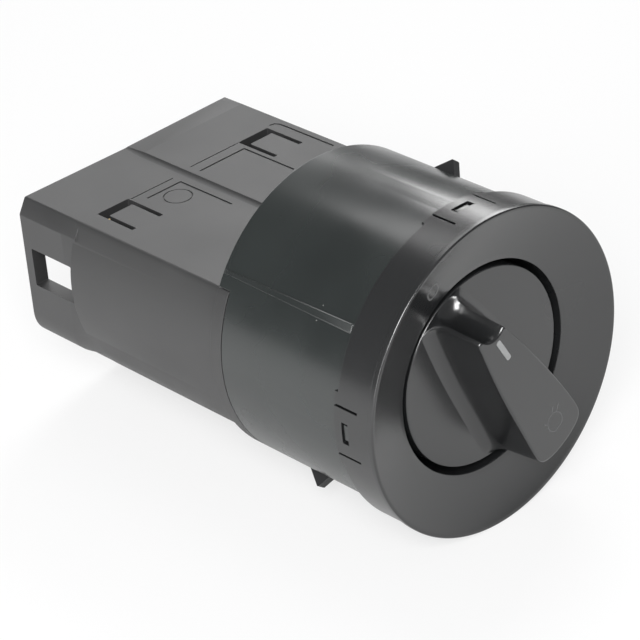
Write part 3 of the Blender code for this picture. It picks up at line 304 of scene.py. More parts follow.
def moulded(name, look):
    # recipe for every finish: fine grain, slow drift of sheen, and where asked rubbed edges and a little dust
    made = bpy.data.materials.new(name)
    made.use_nodes = True
    tree = made.node_tree
    shader = tree.nodes["Principled BSDF"]
    place = addNode(tree, "ShaderNodeTexCoord").outputs["Object"]
    drift = noiseAt(tree, place, look["driftScale"], 2.0)
    grain = noiseAt(tree, place, look["grainScale"], 2.0, 0.6)
    colour = look["colour"]
    deep = tuple(c * (1 - look["colourDrift"]) for c in colour)
    high = tuple(min(c * (1 + look["colourDrift"]), 1.0) for c in colour)
    paint = blendColours(tree, spread(tree, drift, 0.0, 1.0), deep, high)
    soft = None
    if look.get("edgeRadius"):
        soft = addNode(tree, "ShaderNodeBevel", samples=bevelSamples)
        soft.inputs["Radius"].default_value = look["edgeRadius"] * mm
    if soft and look.get("edgeWear"):
        turned = addNode(tree, "ShaderNodeVectorMath", operation="DOT_PRODUCT")
        tree.links.new(soft.outputs["Normal"], turned.inputs[0])
        tree.links.new(addNode(tree, "ShaderNodeNewGeometry").outputs["Normal"], turned.inputs[1])
        worn = spread(tree, turned.outputs["Value"], look["edgeWear"], 0.0, *wearTurn)
        paint = blendColours(tree, worn, paint, look["wornColour"])
    if look.get("dust"):
        specks = addNode(tree, "ShaderNodeTexVoronoi")
        specks.inputs["Scale"].default_value = look["dustScale"]
        tree.links.new(place, specks.inputs["Vector"])
        spots = spread(tree, specks.outputs["Distance"], look["dust"], 0.0, *dustLook["size"])
        patches = noiseAt(tree, place, look["dustScale"] * dustLook["patchScale"], 1.0)
        thin = spread(tree, patches, 0.0, 1.0, *dustLook["patches"])
        both = addNode(tree, "ShaderNodeMath", operation="MULTIPLY")
        tree.links.new(spots, both.inputs[0])
        tree.links.new(thin, both.inputs[1])
        paint = blendColours(tree, both.outputs[0], paint, dustLook["colour"])
    tree.links.new(paint, shader.inputs["Base Color"])
    rough = spread(tree, drift, look["roughness"] - look["roughDrift"], look["roughness"] + look["roughDrift"])
    tree.links.new(rough, shader.inputs["Roughness"])
    shader.inputs["Metallic"].default_value = look.get("metallic", 0.0)
    shader.inputs["Specular IOR Level"].default_value = look.get("specular", 0.5)
    shader.inputs["Transmission Weight"].default_value = look.get("transmission", 0.0)
    bump = addNode(tree, "ShaderNodeBump")
    bump.inputs["Strength"].default_value = look["grainStrength"]
    bump.inputs["Distance"].default_value = look["grainDepth"] * mm
    tree.links.new(grain, bump.inputs["Height"])
    if soft:
        tree.links.new(soft.outputs["Normal"], bump.inputs["Normal"])
    tree.links.new(bump.outputs["Normal"], shader.inputs["Normal"])
    made.diffuse_color = (*colour, 1.0)
    return made


finishLooks = {
    "satinFace": {
        "colour": (0.0115, 0.012, 0.0125), "colourDrift": 0.06, "roughness": 0.25, "roughDrift": 0.03, "specular": 0.9,
        "driftScale": 60.0, "grainScale": 5200.0, "grainStrength": 0.16, "grainDepth": 0.02,
        "edgeWear": 0.35, "wornColour": (0.2, 0.2, 0.2), "edgeRadius": 0.12,
    },
    "glossSleeve": {
        "colour": (0.013, 0.0165, 0.016), "colourDrift": 0.15, "roughness": 0.27, "roughDrift": 0.05, "specular": 1.0,
        "driftScale": 45.0, "grainScale": 1500.0, "grainStrength": 0.06, "grainDepth": 0.02,
        "edgeWear": 0.3, "wornColour": (0.16, 0.16, 0.16), "edgeRadius": 0.1,
        "dust": 0.7, "dustScale": 330.0,
    },
    "mattHousing": {
        "colour": (0.025, 0.025, 0.0255), "colourDrift": 0.08, "roughness": 0.5, "roughDrift": 0.05, "specular": 1.0,
        "driftScale": 50.0, "grainScale": 3800.0, "grainStrength": 0.3, "grainDepth": 0.03,
        "edgeWear": 0.4, "wornColour": (0.2, 0.2, 0.2), "edgeRadius": 0.1,
    },
    "lugMoulding": {
        "colour": (0.016, 0.016, 0.017), "colourDrift": 0.1, "roughness": 0.5, "roughDrift": 0.05,
        "driftScale": 160.0, "grainScale": 3200.0, "grainStrength": 0.25, "grainDepth": 0.03,
        "edgeWear": 0.5, "wornColour": (0.14, 0.14, 0.14), "edgeRadius": 0.12,
    },
    "paleMark": {
        "colour": (0.12, 0.12, 0.12), "colourDrift": 0.1, "roughness": 0.5, "roughDrift": 0.05,
        "driftScale": 600.0, "grainScale": 4200.0, "grainStrength": 0.1, "grainDepth": 0.01,
    },
    "faintMark": {
        "colour": (0.085, 0.087, 0.088), "colourDrift": 0.1, "roughness": 0.44, "roughDrift": 0.04,
        "driftScale": 600.0, "grainScale": 5200.0, "grainStrength": 0.16, "grainDepth": 0.02,
    },
    "innerMoulding": {
        "colour": (0.09, 0.09, 0.094), "colourDrift": 0.08, "roughness": 0.5, "roughDrift": 0.06,
        "driftScale": 80.0, "grainScale": 3200.0, "grainStrength": 0.2, "grainDepth": 0.02,
        "edgeWear": 0.3, "wornColour": (0.25, 0.25, 0.25), "edgeRadius": 0.1,
    },
    "paleMoulding": {
        "colour": (0.62, 0.59, 0.52), "colourDrift": 0.05, "roughness": 0.46, "roughDrift": 0.06,
        "driftScale": 80.0, "grainScale": 3200.0, "grainStrength": 0.18, "grainDepth": 0.02,
        "edgeWear": 0.2, "wornColour": (0.75, 0.73, 0.68), "edgeRadius": 0.1,
    },
    # white indicator bar, greyed down to 0.26: painted shade for the front face, which stands in shade while the lamps
    # here light it
    "indicatorWhite": {
        "colour": (0.26, 0.265, 0.265), "colourDrift": 0.03, "roughness": 0.36, "roughDrift": 0.04,
        "driftScale": 300.0, "grainScale": 4200.0, "grainStrength": 0.08, "grainDepth": 0.01,
    },
    "stampedBrass": {
        "colour": (0.72, 0.55, 0.27), "colourDrift": 0.1, "roughness": 0.3, "roughDrift": 0.08,
        "driftScale": 220.0, "grainScale": 2600.0, "grainStrength": 0.12, "grainDepth": 0.01,
        "metallic": 1.0, "edgeWear": 0.4, "wornColour": (0.85, 0.72, 0.45), "edgeRadius": 0.06,
    },
    "springSteel": {
        "colour": (0.56, 0.56, 0.58), "colourDrift": 0.08, "roughness": 0.3, "roughDrift": 0.08,
        "driftScale": 300.0, "grainScale": 3000.0, "grainStrength": 0.1, "grainDepth": 0.01,
        "metallic": 1.0, "edgeWear": 0.3, "wornColour": (0.75, 0.75, 0.77),
    },
    "clearGuide": {
        "colour": (0.85, 0.88, 0.9), "colourDrift": 0.02, "roughness": 0.12, "roughDrift": 0.04,
        "driftScale": 90.0, "grainScale": 1800.0, "grainStrength": 0.05, "grainDepth": 0.01,
        "transmission": 0.9,
    },
    "boardGreen": {
        "colour": (0.02, 0.13, 0.05), "colourDrift": 0.15, "roughness": 0.35, "roughDrift": 0.08,
        "driftScale": 400.0, "grainScale": 2600.0, "grainStrength": 0.2, "grainDepth": 0.02,
    },
}
finishes = {name: moulded(name, look) for name, look in finishLooks.items()}

slotFinishes = {
    "satin_face": "satinFace", "gloss_sleeve": "glossSleeve", "matt_housing": "mattHousing",
    "indicator_white": "indicatorWhite", "inner_moulding": "innerMoulding", "pale_moulding": "paleMoulding",
    "contact_brass": "stampedBrass", "spring_steel": "springSteel", "clear_guide": "clearGuide",
    "board_green": "boardGreen",
}
for part in frame["record"]["subparts"]:
    node = nodes[part["node"]]
    finish = finishes[slotFinishes[part["material_slot"]]]
    node.data.materials.clear()
    node.data.materials.append(finish)
print("finishes made:", len(finishes))


# Bezel: dished face, skirt with four snap tabs

bezelShape = {
    "front": -10.7, "rimRadius": 34.0, "skirtRadius": 33.71, "skirtInner": 32.66, "holeRadius": 22.1,
    "faceDrop": 3.7, "faceHollow": 0.25, "faceThickness": 2.0, "collarWall": 1.2, "collarLength": 9.5,
    "rimBand": 1.4, "rimEdge": 0.35, "holeEdge": 0.28, "seatRelief": 0.95, "slitWidth": 0.55,
    "slitLength": 6.3, "windowLength": 1.7, "windowSetback": 2.1, "bandEdge": 0.08, "bandInset": 0.06,
    "skirtEdge": 0.12, "cutReach": 1.6,
}
lipTurns = (0, 22, 45, 68, 90)  # rounded lip of the hole
rimTurns = (20, 45, 70, 90)  # rounded outer edge
faceSteps = 22
tabAngles = (1.4, 89.8, 181.4, 269.8)
tabHalfAngle = 9.3
seatHalfAngle = 14.0
windowHalfAngle = 4.0
roundSteps = 256
reliefSteps = 60
windowSteps = 6


def faceDepth(b, radius):
    # place along the axis of the dished face at a radius
    share = (radius - b["holeRadius"]) / (b["rimRadius"] - b["rimEdge"] - b["holeRadius"])
    return b["front"] + b["faceDrop"] * (1 - share) + b["faceHollow"] * 4 * share * (1 - share)


def makeBezel():
    b = {key: value * mm for key, value in bezelShape.items()}
    hole = b["front"] + b["faceDrop"]
    run = b["rimRadius"] - b["rimEdge"] - b["holeRadius"]
    edge = b["holeEdge"]
    loop = []
    for t in lipTurns:
        turn = math.radians(t)
        loop.append((b["holeRadius"] + edge * (1 - math.cos(turn)), hole + edge * (1 - math.sin(turn))))
    for i in range(1, faceSteps + 1):
        share = i / faceSteps
        radius = b["holeRadius"] + edge + (run - edge) * share
        loop.append((radius, faceDepth(b, radius)))
    for t in rimTurns:
        turn = math.radians(t)
        loop.append((b["rimRadius"] - b["rimEdge"] * (1 - math.sin(turn)),
                     b["front"] + b["rimEdge"] * (1 - math.cos(turn))))
    lip = b["rimRadius"] - b["skirtRadius"]
    band = b["front"] + b["rimBand"]
    loop += [(b["rimRadius"], band - b["bandEdge"]), (b["rimRadius"] - b["bandInset"], band),
             (b["skirtRadius"], band + lip), (b["skirtRadius"], -b["skirtEdge"]),
             (b["skirtRadius"] - b["skirtEdge"], 0.0), (b["skirtInner"], 0.0)]
    collar = b["holeRadius"] + b["collarWall"]
    lift = b["faceDrop"] * (b["skirtInner"] - collar) / run
    loop += [(b["skirtInner"], hole + b["faceThickness"] - lift), (collar, hole + b["faceThickness"]),
             (collar, hole + b["collarLength"]), (b["holeRadius"], hole + b["collarLength"])]
    bezel = spun("bezelFace", loop, roundSteps)
    low = b["skirtInner"] - b["cutReach"]
    high = b["skirtRadius"] + b["cutReach"]
    tools = []
    for i, middle in enumerate(tabAngles):
        following = tabAngles[(i + 1) % len(tabAngles)]
        if following < middle:
            following += 360.0
        tools.append(ringPiece("relief", low, high, middle + seatHalfAngle, following - seatHalfAngle,
                               b["seatRelief"] + mm, reliefSteps, y=-b["seatRelief"]))
        for side in (-1, 1):
            tools.append(brick("slit", (-b["slitWidth"] / 2, -b["slitLength"], low), (b["slitWidth"] / 2, mm, high),
                               angle=middle + side * tabHalfAngle))
        tools.append(ringPiece("window", low, high, -windowHalfAngle, windowHalfAngle, b["windowLength"],
                               windowSteps, y=-b["windowSetback"] - b["windowLength"], angle=middle))
    cutOut(bezel, *tools)
    return finishPiece(bezel, finishes["satinFace"], "housing", "bezel", slot="satin_face")


markShape = {"radius": 27.25, "halfWidth": 1.72, "halfHeight": 1.8, "line": 0.42, "lift": 0.03}
markAngle = -30.0
markSteps = 64
markSquareness = 2.6  # 2 is an ellipse


def makeZeroMark():
    # plain "0" printed on the dished face, beside the knob's rest place
    b = {key: value * mm for key, value in bezelShape.items()}
    m = {key: value * mm for key, value in markShape.items()}
    bm = bmesh.new()
    rings = []
    for spare, lift in ((0.0, m["lift"]), (m["line"], m["lift"]), (m["line"], -m["lift"]), (0.0, -m["lift"])):
        ring = []
        for i in range(markSteps):
            turn = math.tau * i / markSteps
            power = markSquareness
            reach = (abs(math.cos(turn)) ** power + abs(math.sin(turn)) ** power) ** (-1 / power)
            x = (m["halfWidth"] - spare) * reach * math.cos(turn)
            z = m["radius"] + (m["halfHeight"] - spare) * reach * math.sin(turn)
            ring.append(bm.verts.new((x, faceDepth(b, math.hypot(x, z)) - lift, z)))
        rings.append(ring)
    bridge(bm, rings + rings[:1], capped=False)
    mark = objectFrom(meshFrom(bm, "zeroMark"), "zeroMark", angle=markAngle)
    settle(mark)
    finishPiece(mark, finishes["paleMark"], "housing", slot="satin_face")


makeBezel()
makeZeroMark()
print("bezel made")


# Barrel: glossy sleeve with nubs, rib and lug slots

barrelShape = {
    "radius": 32.36, "inner": 30.4, "front": -7.2, "sideBack": 32.7, "hoodBack": 36.0, "sill": 15.6,
    "bulkheadFront": 9.0, "bulkheadBack": 11.2, "sleeveFront": 6.5, "sleeveRadius": 8.1, "bore": 5.7,
    "nubHeight": 0.95, "nubLength": 1.1, "nubHalf": 1.96, "ribHeight": 0.4, "ribFrontHalf": 0.95, "ribBackHalf": 0.4,
    "ribSetback": 0.4, "slotHalf": 1.1, "slotFront": 16.3, "slotBack": 23.9, "slotInset": 14.0, "frontEdge": 0.3,
    "backEdge": 0.22, "innerEdge": 0.15, "nubFront": 3.5, "nubTaper": 0.25, "nubEdge": 0.15,
}
ribAngle = -55.5
ribForm = {"shares": (0.0, 0.012, 0.988, 1.0), "endHeight": 0.3, "shoulder": 0.55, "top": 0.8}
lugAngle = {"upper": 38.0, "lower": 218.0}


def makeBarrel():
    b = {key: value * mm for key, value in barrelShape.items()}
    loop = roundCorners([
        (b["radius"], b["front"], b["frontEdge"]), (b["radius"], b["hoodBack"], b["backEdge"]),
        (b["inner"], b["hoodBack"], b["innerEdge"]), (b["inner"], b["bulkheadBack"], 0.0),
        (b["bore"], b["bulkheadBack"], 0.0), (b["bore"], b["sleeveFront"], 0.0),
        (b["sleeveRadius"], b["sleeveFront"], 0.0), (b["sleeveRadius"], b["bulkheadFront"], 0.0),
        (b["inner"], b["bulkheadFront"], 0.0), (b["inner"], b["front"], 0.0),
    ])
    barrel = spun("barrelSleeve", loop, roundSteps)
    cutOut(barrel, brick("sideRelief", (-outside, b["sideBack"], -outside),
                         (outside, b["hoodBack"] + mm, b["sill"])))
    root = (b["radius"] + b["inner"]) / 2
    parts = []
    for angle in tabAngles:
        half = b["nubHalf"]
        crest = b["radius"] + b["nubHeight"]
        outline = roundCorners([(-half, root, 0.0), (half, root, 0.0), (half - b["nubTaper"], crest, b["nubEdge"]),
                                (b["nubTaper"] - half, crest, b["nubEdge"])], 3)
        parts.append(drawn("nub", outline, b["nubLength"], y=-b["nubFront"], angle=angle))
    joinOn(barrel, *parts)
    joinOn(barrel, makeRib(b, root))
    slotRoot = b["bore"] + b["slotInset"]
    slot = [(b["slotFront"], slotRoot), (b["slotBack"], slotRoot), (b["slotBack"], outside),
            (b["slotFront"], outside)]
    cutOut(barrel, sidePlate("lugSlots", slot, b["slotHalf"], True, angle=lugAngle["upper"]))
    return finishPiece(barrel, finishes["glossSleeve"], "housing", "barrel", slot="gloss_sleeve")


def makeRib(b, root):
    bm = bmesh.new()
    rings = []
    front = b["ribSetback"]
    back = b["hoodBack"] - b["ribSetback"]
    for share in ribForm["shares"]:
        y = front + (back - front) * share
        half = b["ribFrontHalf"] + (b["ribBackHalf"] - b["ribFrontHalf"]) * share
        height = b["ribHeight"] * (ribForm["endHeight"] if share in (0.0, 1.0) else 1.0)
        swing = math.degrees(half / b["radius"])
        shoulder = b["radius"] + height * ribForm["shoulder"]
        top = b["radius"] + height
        topSwing = swing * ribForm["top"]
        section = [(root, -swing), (shoulder, -swing), (top, -topSwing), (top, topSwing), (shoulder, swing),
                   (root, swing)]
        spots = [around(radius, ribAngle + angle) for radius, angle in section]
        rings.append([bm.verts.new((x, y, z)) for x, z in spots])
    bridge(bm, rings)
    bmesh.ops.triangulate(bm, faces=bm.faces)
    return objectFrom(meshFrom(bm, "rib"), "rib")


lugShape = {
    "front": 16.6, "back": 23.6, "root": 13.9, "shoulder": 32.06, "tip": 35.2, "tipY": 19.4, "catchY": 18.95,
    "catchTip": 35.05, "rampEnd": 23.3, "catchRoot": 17.1, "half": 0.9, "footHalf": 2.4, "footHeight": 1.2,
    "pegRadius": 0.9, "pegSeat": 19.5, "pegFront": 22.65, "pegLength": 3.7, "edge": 0.1, "bend": 0.3,
    "tipRound": 0.35, "footSink": 0.15,
}


def makeLug(side):
    # barbed lug: ramp, blunt tip and hollow catch
    g = {key: value * mm for key, value in lugShape.items()}
    angle = lugAngle[side]
    outline = roundCorners([
        (g["front"], g["root"], 0.0), (g["back"], g["root"], 0.0), (g["back"], g["shoulder"], g["edge"]),
        (g["rampEnd"], g["shoulder"], g["bend"]), (g["tipY"], g["tip"], g["tipRound"]),
        (g["catchY"], g["catchTip"], g["bend"]), (g["catchRoot"], g["shoulder"], g["bend"]),
        (g["front"], g["shoulder"], g["edge"])])
    lug = sidePlate(side + "Lug", outline, g["half"], angle=angle)
    middle = (g["front"] + g["back"]) / 2
    foot = brick("lugFoot", (-g["footHalf"], middle - g["footHalf"], g["root"] - g["footSink"]),
                 (g["footHalf"], middle + g["footHalf"], g["root"] + g["footHeight"]), angle=angle)
    x, z = around(g["pegSeat"], angle)
    peg = rod("lugPeg", g["pegRadius"], 0.0, g["pegLength"], 32, x=x, y=g["pegFront"], z=z)
    joinOn(lug, foot, peg)
    finishPiece(lug, finishes["lugMoulding"], side + "_lug", "lug_" + side, slot="inner_moulding")


makeBarrel()
for side in lugAngle:
    makeLug(side)
print("barrel and lugs made")


# Rear housing: plug, collar, flat-topped body, connector shroud and tongues

housingShape = {
    "plugRadius": 30.1, "plugFront": 26.8, "partitionBack": 28.8, "plugBack": 35.7, "collarFront": 33.0,
    "collarBack": 36.0, "collarTop": 15.3, "collarRadius": 32.36, "bodyRadius": 31.17, "bodyFront": 35.2,
    "bodyBack": 80.45, "back": 97.6, "top": 14.6, "shroudHalf": 29.4, "shoulder": 11.3, "corner": 12.2,
    "cavityRadius": 27.9, "cavityHalf": 26.1, "cavityTop": 12.3, "riserX": 0.8, "riserWidth": 1.9, "riserRise": 0.55,
    "riserBackRise": 0.05, "edgeX": 29.25, "edgeRise": 0.75, "edgeBackRise": 0.68, "rampLength": 5.6,
    "windowFront": 82.25, "windowBack": 95.2, "windowLow": -4.9, "windowHigh": 3.9, "tongueHalf": 4.2,
    "tongueLength": 11.1, "tongueSlot": 1.1, "tongueEndSlot": 2.6, "lineMargin": 3.1, "lineReach": 15.9,
    "grooveDepth": 0.3, "grooveWidth": 0.5, "fineWidth": 0.3,
    "ringMark": 3.0, "ringX": -7.3, "ringY": 72.0, "hookLength": 2.3, "hookDepth": 1.2, "hookHalf": 2.4,
    "hubFront": 24.35, "hubRadius": 8.8, "bore": 5.7, "bodyEdge": 0.5, "collarEdge": 0.4,
    "windowFrontRound": 0.5, "windowBackRound": 0.2, "skinGap": 0.04, "shroudSink": 0.9, "cornerRamp": 4.5,
    "cornerTop": 6.0, "shroudSpare": 0.8, "raisedEdge": 0.22, "riserDip": 0.03, "footDrop": 0.8,
    "raisedStart": 0.3, "raisedSpare": 0.4, "raisedSinkX": 0.8, "raisedSinkZ": 0.6, "riserSink": 1.2,
    "slotRound": 0.2, "slotInnerRound": 0.25, "hookGap": 0.15, "hookSink": 1.1,
}
shroudCornerAngle = 128.0
shroudCornerSteps = 12
shroudTopEdge = ((-0.4, 0.0), (-0.1, -0.08), (0.1, -0.3))  # across and up from the top's corner
shroudSideEdge = ((-0.1, 0.15), (0.0, -0.15))  # across and up from the shoulder
flatSpare = 0.8  # degrees between the flat's corner and the round
softEdge = ((0.3, 0.12), (0.05, 0.45))  # rounded edge, across and down as shares of its size
riserSteps = 12
riserCrest = 0.94  # share of the rise that the hollow takes
riserLip = ((0.05, 0.985), (0.14, 1.0))  # across, and share of the rise
tonguePlaces = {-1: (-18.7, 79.5), 1: (20.4, 79.0)}  # middle across the top, back of the slot


def flatTopped(radius, top, soft, steps):
    # circle with a flat across its top and softened corners
    corner = math.degrees(math.acos(top / radius))
    sweep = arcPoints(radius, corner + flatSpare, 360.0 - flatSpare - corner, steps)
    x = math.sqrt(radius ** 2 - top ** 2)
    run, fall = (soft * share for share in softEdge[0])
    return [(x - soft, top), (x - run, top - fall)] + sweep + [(run - x, top - fall), (soft - x, top)]


def makeHousing():
    h = {key: value * mm for key, value in housingShape.items()}
    body = flatTopped(h["bodyRadius"], h["top"], h["bodyEdge"], 180)
    housing = drawn("rearBody", body, h["bodyBack"] - h["bodyFront"], y=h["bodyFront"])
    shroud = makeShroud(h)
    ring = flatTopped(h["collarRadius"], h["collarTop"], h["collarEdge"], 200)
    collar = drawn("collar", ring, h["collarBack"] - h["collarFront"], y=h["collarFront"])
    plug = rod("plug", h["plugRadius"], h["plugFront"], h["plugBack"], 180)
    hub = rod("hub", h["hubRadius"], h["hubFront"], h["plugFront"] + mm, 96)
    work(housing, "UNION", [raisedHalf(h), shroud, collar, plug, hub], "MANIFOLD")
    bore = rod("bore", h["bore"], h["hubFront"] - mm, h["partitionBack"] + mm, 96)
    cavity = drawn("cavity", cavityOutline(h), h["back"] - h["partitionBack"] + mm, y=h["partitionBack"])
    trim = brick("trim", (-outside, h["back"], -outside), (outside, h["back"] + 2 * mm, outside))
    work(housing, "DIFFERENCE", [cavity, bore, trim], "MANIFOLD")
    tools = []
    for side in (-1, 1):
        near, far = sorted((side * (h["cavityHalf"] - mm), side * (h["shroudHalf"] + mm)))
        window = roundCorners([(h["windowFront"], h["windowLow"], h["windowFrontRound"]),
                               (h["windowBack"], h["windowLow"], h["windowBackRound"]),
                               (h["windowBack"], h["windowHigh"], h["windowBackRound"]),
                               (h["windowFront"], h["windowHigh"], h["windowFrontRound"])], 4)
        tools.append(sidePlate("window", window, (far - near) / 2, x=(near + far) / 2))
        tools.append(tongueSlot(h, side))
    tools += topGrooves(h)
    work(housing, "DIFFERENCE", tools, "MANIFOLD")
    joinOn(housing, *[hook(h, side) for side in (-1, 1)])
    tilt = (h["edgeRise"] - h["riserRise"]) / (h["edgeX"] - h["riserX"])
    flats = [(0, 0, 1), (-tilt, 0, 1), (1, 0, 0), (-1, 0, 0), (0, 1, 0), (0, -1, 0), (0, 0, -1)]
    return finishPiece(housing, finishes["mattHousing"], "housing", "rear_housing", slot="matt_housing", flats=flats)


def shroudOutline(h):
    topX = math.sqrt(h["bodyRadius"] ** 2 - h["top"] ** 2)
    lowRadius = h["bodyRadius"] - h["skinGap"]
    endX, endZ = around(lowRadius, shroudCornerAngle)
    bend = (h["shroudHalf"], -h["corner"] - (h["shroudHalf"] - endX))
    side = [(topX + x * mm, h["top"] + z * mm) for x, z in shroudTopEdge]
    side += [(h["shroudHalf"] + x * mm, h["shoulder"] + z * mm) for x, z in shroudSideEdge]
    side.append((h["shroudHalf"], -h["corner"]))
    for i in range(1, shroudCornerSteps):
        t = i / shroudCornerSteps
        x = (1 - t) ** 2 * h["shroudHalf"] + 2 * t * (1 - t) * bend[0] + t * t * endX
        z = (1 - t) ** 2 * -h["corner"] + 2 * t * (1 - t) * bend[1] + t * t * endZ
        side.append((x, z))
    bottom = arcPoints(lowRadius, shroudCornerAngle, 360.0 - shroudCornerAngle, 80)
    return side + bottom + [(-x, z) for x, z in reversed(side)]


def makeShroud(h):
    # its lower corners rise out of the round body in a short ramp
    full = shroudOutline(h)
    limit = h["bodyRadius"] - h["skinGap"]
    first = [(x, z) if z > -h["cornerTop"] else (Vector((x, z)) * min(1.0, limit / math.hypot(x, z)))[:]
             for x, z in full]
    start = h["bodyBack"] - h["shroudSink"]
    places = ((start, first), (start + h["cornerRamp"], full), (h["back"] + h["shroudSpare"], full))
    bm = bmesh.new()
    bridge(bm, [[bm.verts.new((x, y, z)) for x, z in outline] for y, outline in places])
    return objectFrom(meshFrom(bm, "shroud"), "shroud")


def cavityOutline(h):
    radius, half, top = h["cavityRadius"], h["cavityHalf"], h["cavityTop"]
    side = math.degrees(math.asin(half / radius))
    return [(-half, top), (half, top)] + arcPoints(radius, 180.0 - side, 180.0 + side, 90)


def raisedHalf(h):
    # upper level of the top: hollow riser, nearly level top, far wall, and a ramp down at the back
    soft = h["raisedEdge"]
    dip = h["riserDip"]
    foot = math.sqrt(h["bodyRadius"] ** 2 - h["edgeX"] ** 2) - h["footDrop"]
    rings = []
    bm = bmesh.new()
    for y, rise, edgeRise in ((h["collarBack"] + h["raisedStart"], h["riserRise"], h["edgeRise"]),
                              (h["back"] - h["rampLength"], h["riserRise"], h["edgeRise"]),
                              (h["back"] + h["raisedSpare"], h["riserBackRise"], h["edgeBackRise"])):
        section = []
        for i in range(riserSteps + 1):
            turn = math.radians(90 * i / riserSteps)
            lift = (rise + dip) * (1 - math.cos(turn)) * riserCrest - dip
            section.append((h["riserX"] - h["riserWidth"] * (1 - math.sin(turn)), h["top"] + lift))
        section += [(h["riserX"] + x * mm, h["top"] + rise * share) for x, share in riserLip]
        level = h["top"] + edgeRise
        section.append((h["edgeX"] - soft, level))
        section += [(h["edgeX"] - soft * run, level - soft * fall) for run, fall in softEdge]
        section += [(h["edgeX"], level - soft), (h["edgeX"], foot),
                    (h["cavityHalf"] + h["raisedSinkX"], h["cavityTop"] + h["raisedSinkZ"]),
                    (h["riserX"] - h["riserWidth"], h["cavityTop"] + h["riserSink"])]
        rings.append([bm.verts.new((x, y, z)) for x, z in section])
    bridge(bm, rings)
    bmesh.ops.triangulate(bm, faces=bm.faces)
    return objectFrom(meshFrom(bm, "raisedHalf"), "raisedHalf")


def raisedLevel(h, x):
    share = (x - h["riserX"]) / (h["edgeX"] - h["riserX"])
    return h["top"] + h["riserRise"] + (h["edgeRise"] - h["riserRise"]) * share


def upright(name, outline, low, high):
    # outline of (x, y) points drawn upwards
    bm = bmesh.new()
    pullOut(bm, [(x, y, low) for x, y in outline], (0.0, 0.0, high - low))
    return objectFrom(meshFrom(bm, name), name)


def tongueSlot(h, side):
    middle, back = (value * mm for value in tonguePlaces[side])
    front = back - h["tongueLength"]
    half = h["tongueHalf"]
    slot = h["tongueSlot"]
    inner = back - h["tongueEndSlot"]
    bend, innerBend = h["slotRound"], h["slotInnerRound"]
    outline = roundCorners([
        (middle - half, front, bend), (middle - half + slot, front, bend),
        (middle - half + slot, inner, innerBend), (middle + half - slot, inner, innerBend),
        (middle + half - slot, front, bend), (middle + half, front, bend),
        (middle + half, back, bend), (middle - half, back, bend)], 3)
    return upright("tongueSlot", outline, h["cavityTop"] - mm, h["top"] + 2 * mm)


def hook(h, side):
    middle, back = (value * mm for value in tonguePlaces[side])
    back -= h["tongueEndSlot"] + h["hookGap"]
    return brick("hook", (middle - h["hookHalf"], back - h["hookLength"], h["cavityTop"] - h["hookDepth"]),
                 (middle + h["hookHalf"], back, h["cavityTop"] + h["hookSink"]))


grooveShape = {
    "fineSetback": 0.6, "fineGap": 0.3, "nearFineStart": -2.6, "riserGap": 1.6, "nearStart": -11.9, "nearLeg": -2.7,
    "farLeg": 15.0,
}
farEdgeLine = ((25.7, 0.5), (26.9, 0.1), (27.45, -0.9), (27.5, -2.4))  # across, and from the back of the slot


def topGrooves(h):
    # shallow moulding lines round the tongues, and a ring mark
    g = {key: value * mm for key, value in grooveShape.items()}
    legFront = tonguePlaces[-1][1] * mm - h["lineMargin"] - h["lineReach"]
    fineY = tonguePlaces[-1][1] * mm - g["fineSetback"]
    tools = []
    for side in (-1, 1):
        middle, back = (value * mm for value in tonguePlaces[side])
        corner = back - h["lineMargin"]
        start = h["riserX"] + g["riserGap"] if side > 0 else g["nearFineStart"]
        end = middle - side * (h["tongueHalf"] + g["fineGap"])
        paths = [([(start, fineY), (end, fineY)], h["fineWidth"])]
        if side < 0:
            lines = [[(g["nearStart"], corner), (g["nearLeg"], corner), (g["nearLeg"], legFront)]]
        else:
            edgeLine = [(x * mm, back + y * mm) for x, y in farEdgeLine]
            edgeLine.append((edgeLine[-1][0], legFront + mm))
            lines = [[(start, corner), (g["farLeg"], corner), (g["farLeg"], legFront)], edgeLine]
        paths += [(line, h["grooveWidth"]) for line in lines]
        for points, width in paths:
            level = h["top"] if side < 0 else raisedLevel(h, sum(x for x, y in points) / len(points))
            tools.append(upright("groove", linePath(points, width), level - h["grooveDepth"], level + mm))
    half = h["fineWidth"] / 2
    loop = [(h["ringMark"] - half, -h["grooveDepth"]), (h["ringMark"] + half, -h["grooveDepth"]),
            (h["ringMark"] + half, mm), (h["ringMark"] - half, mm)]
    ring = spun("ringMark", loop, 64, x=h["ringX"], y=h["ringY"], z=h["top"])
    ring.rotation_euler = (math.radians(90.0), 0.0, 0.0)
    tools.append(ring)
    return tools


makeHousing()
print("rear housing made")


# Knob: disc with a tapering grip whose narrow end is scooped out

knobShape = {
    "discRadius": 20.75, "discFront": -6.5, "discThickness": 2.2, "skirtBack": 2.5, "skirtWall": 1.5,
    "edge": 0.35, "gripHeight": 12.18, "gripFillet": 3.2, "gripEdge": 0.5,
    "scoopTop": 16.6, "scoopFoot": 18.3, "scoopAside": 1.2, "scoopRadius": 3.9, "endSetback": 0.15,
    "barLength": 5.9, "barWidth": 1.2, "barMiddle": 12.75, "barAside": 0.3, "pocketGap": 0.06, "pocketDepth": 1.0,
    "barSetback": 0.02, "skirtEdge": 0.2, "scoopSoft": 0.22, "leastHeight": 0.02,
}
knobAngle = -30.0
# each flank of the grip: half its width at the axis in mm, taper, and bows in 1/m towards the narrow and wide end
flankShape = {
    "near": {"half": 5.98, "taper": 0.082, "narrowBow": 2.75, "wideBow": 0.0},
    "far": {"half": 5.62, "taper": 0.095, "narrowBow": 3.1, "wideBow": 2.8},
}
gripDraft = 0.05
endDraft = 0.08
cornerSoft = {"middle": 0.65, "swing": 0.45}  # mm, rounder at the wide end
searchSteps = 26
filletTurns = range(4, 91, 7)
gripEdgeTurns = range(0, 91, 15)
flankLevels = 9
gripSides = 180
endCrowding = 0.28  # how far the points gather at both ends


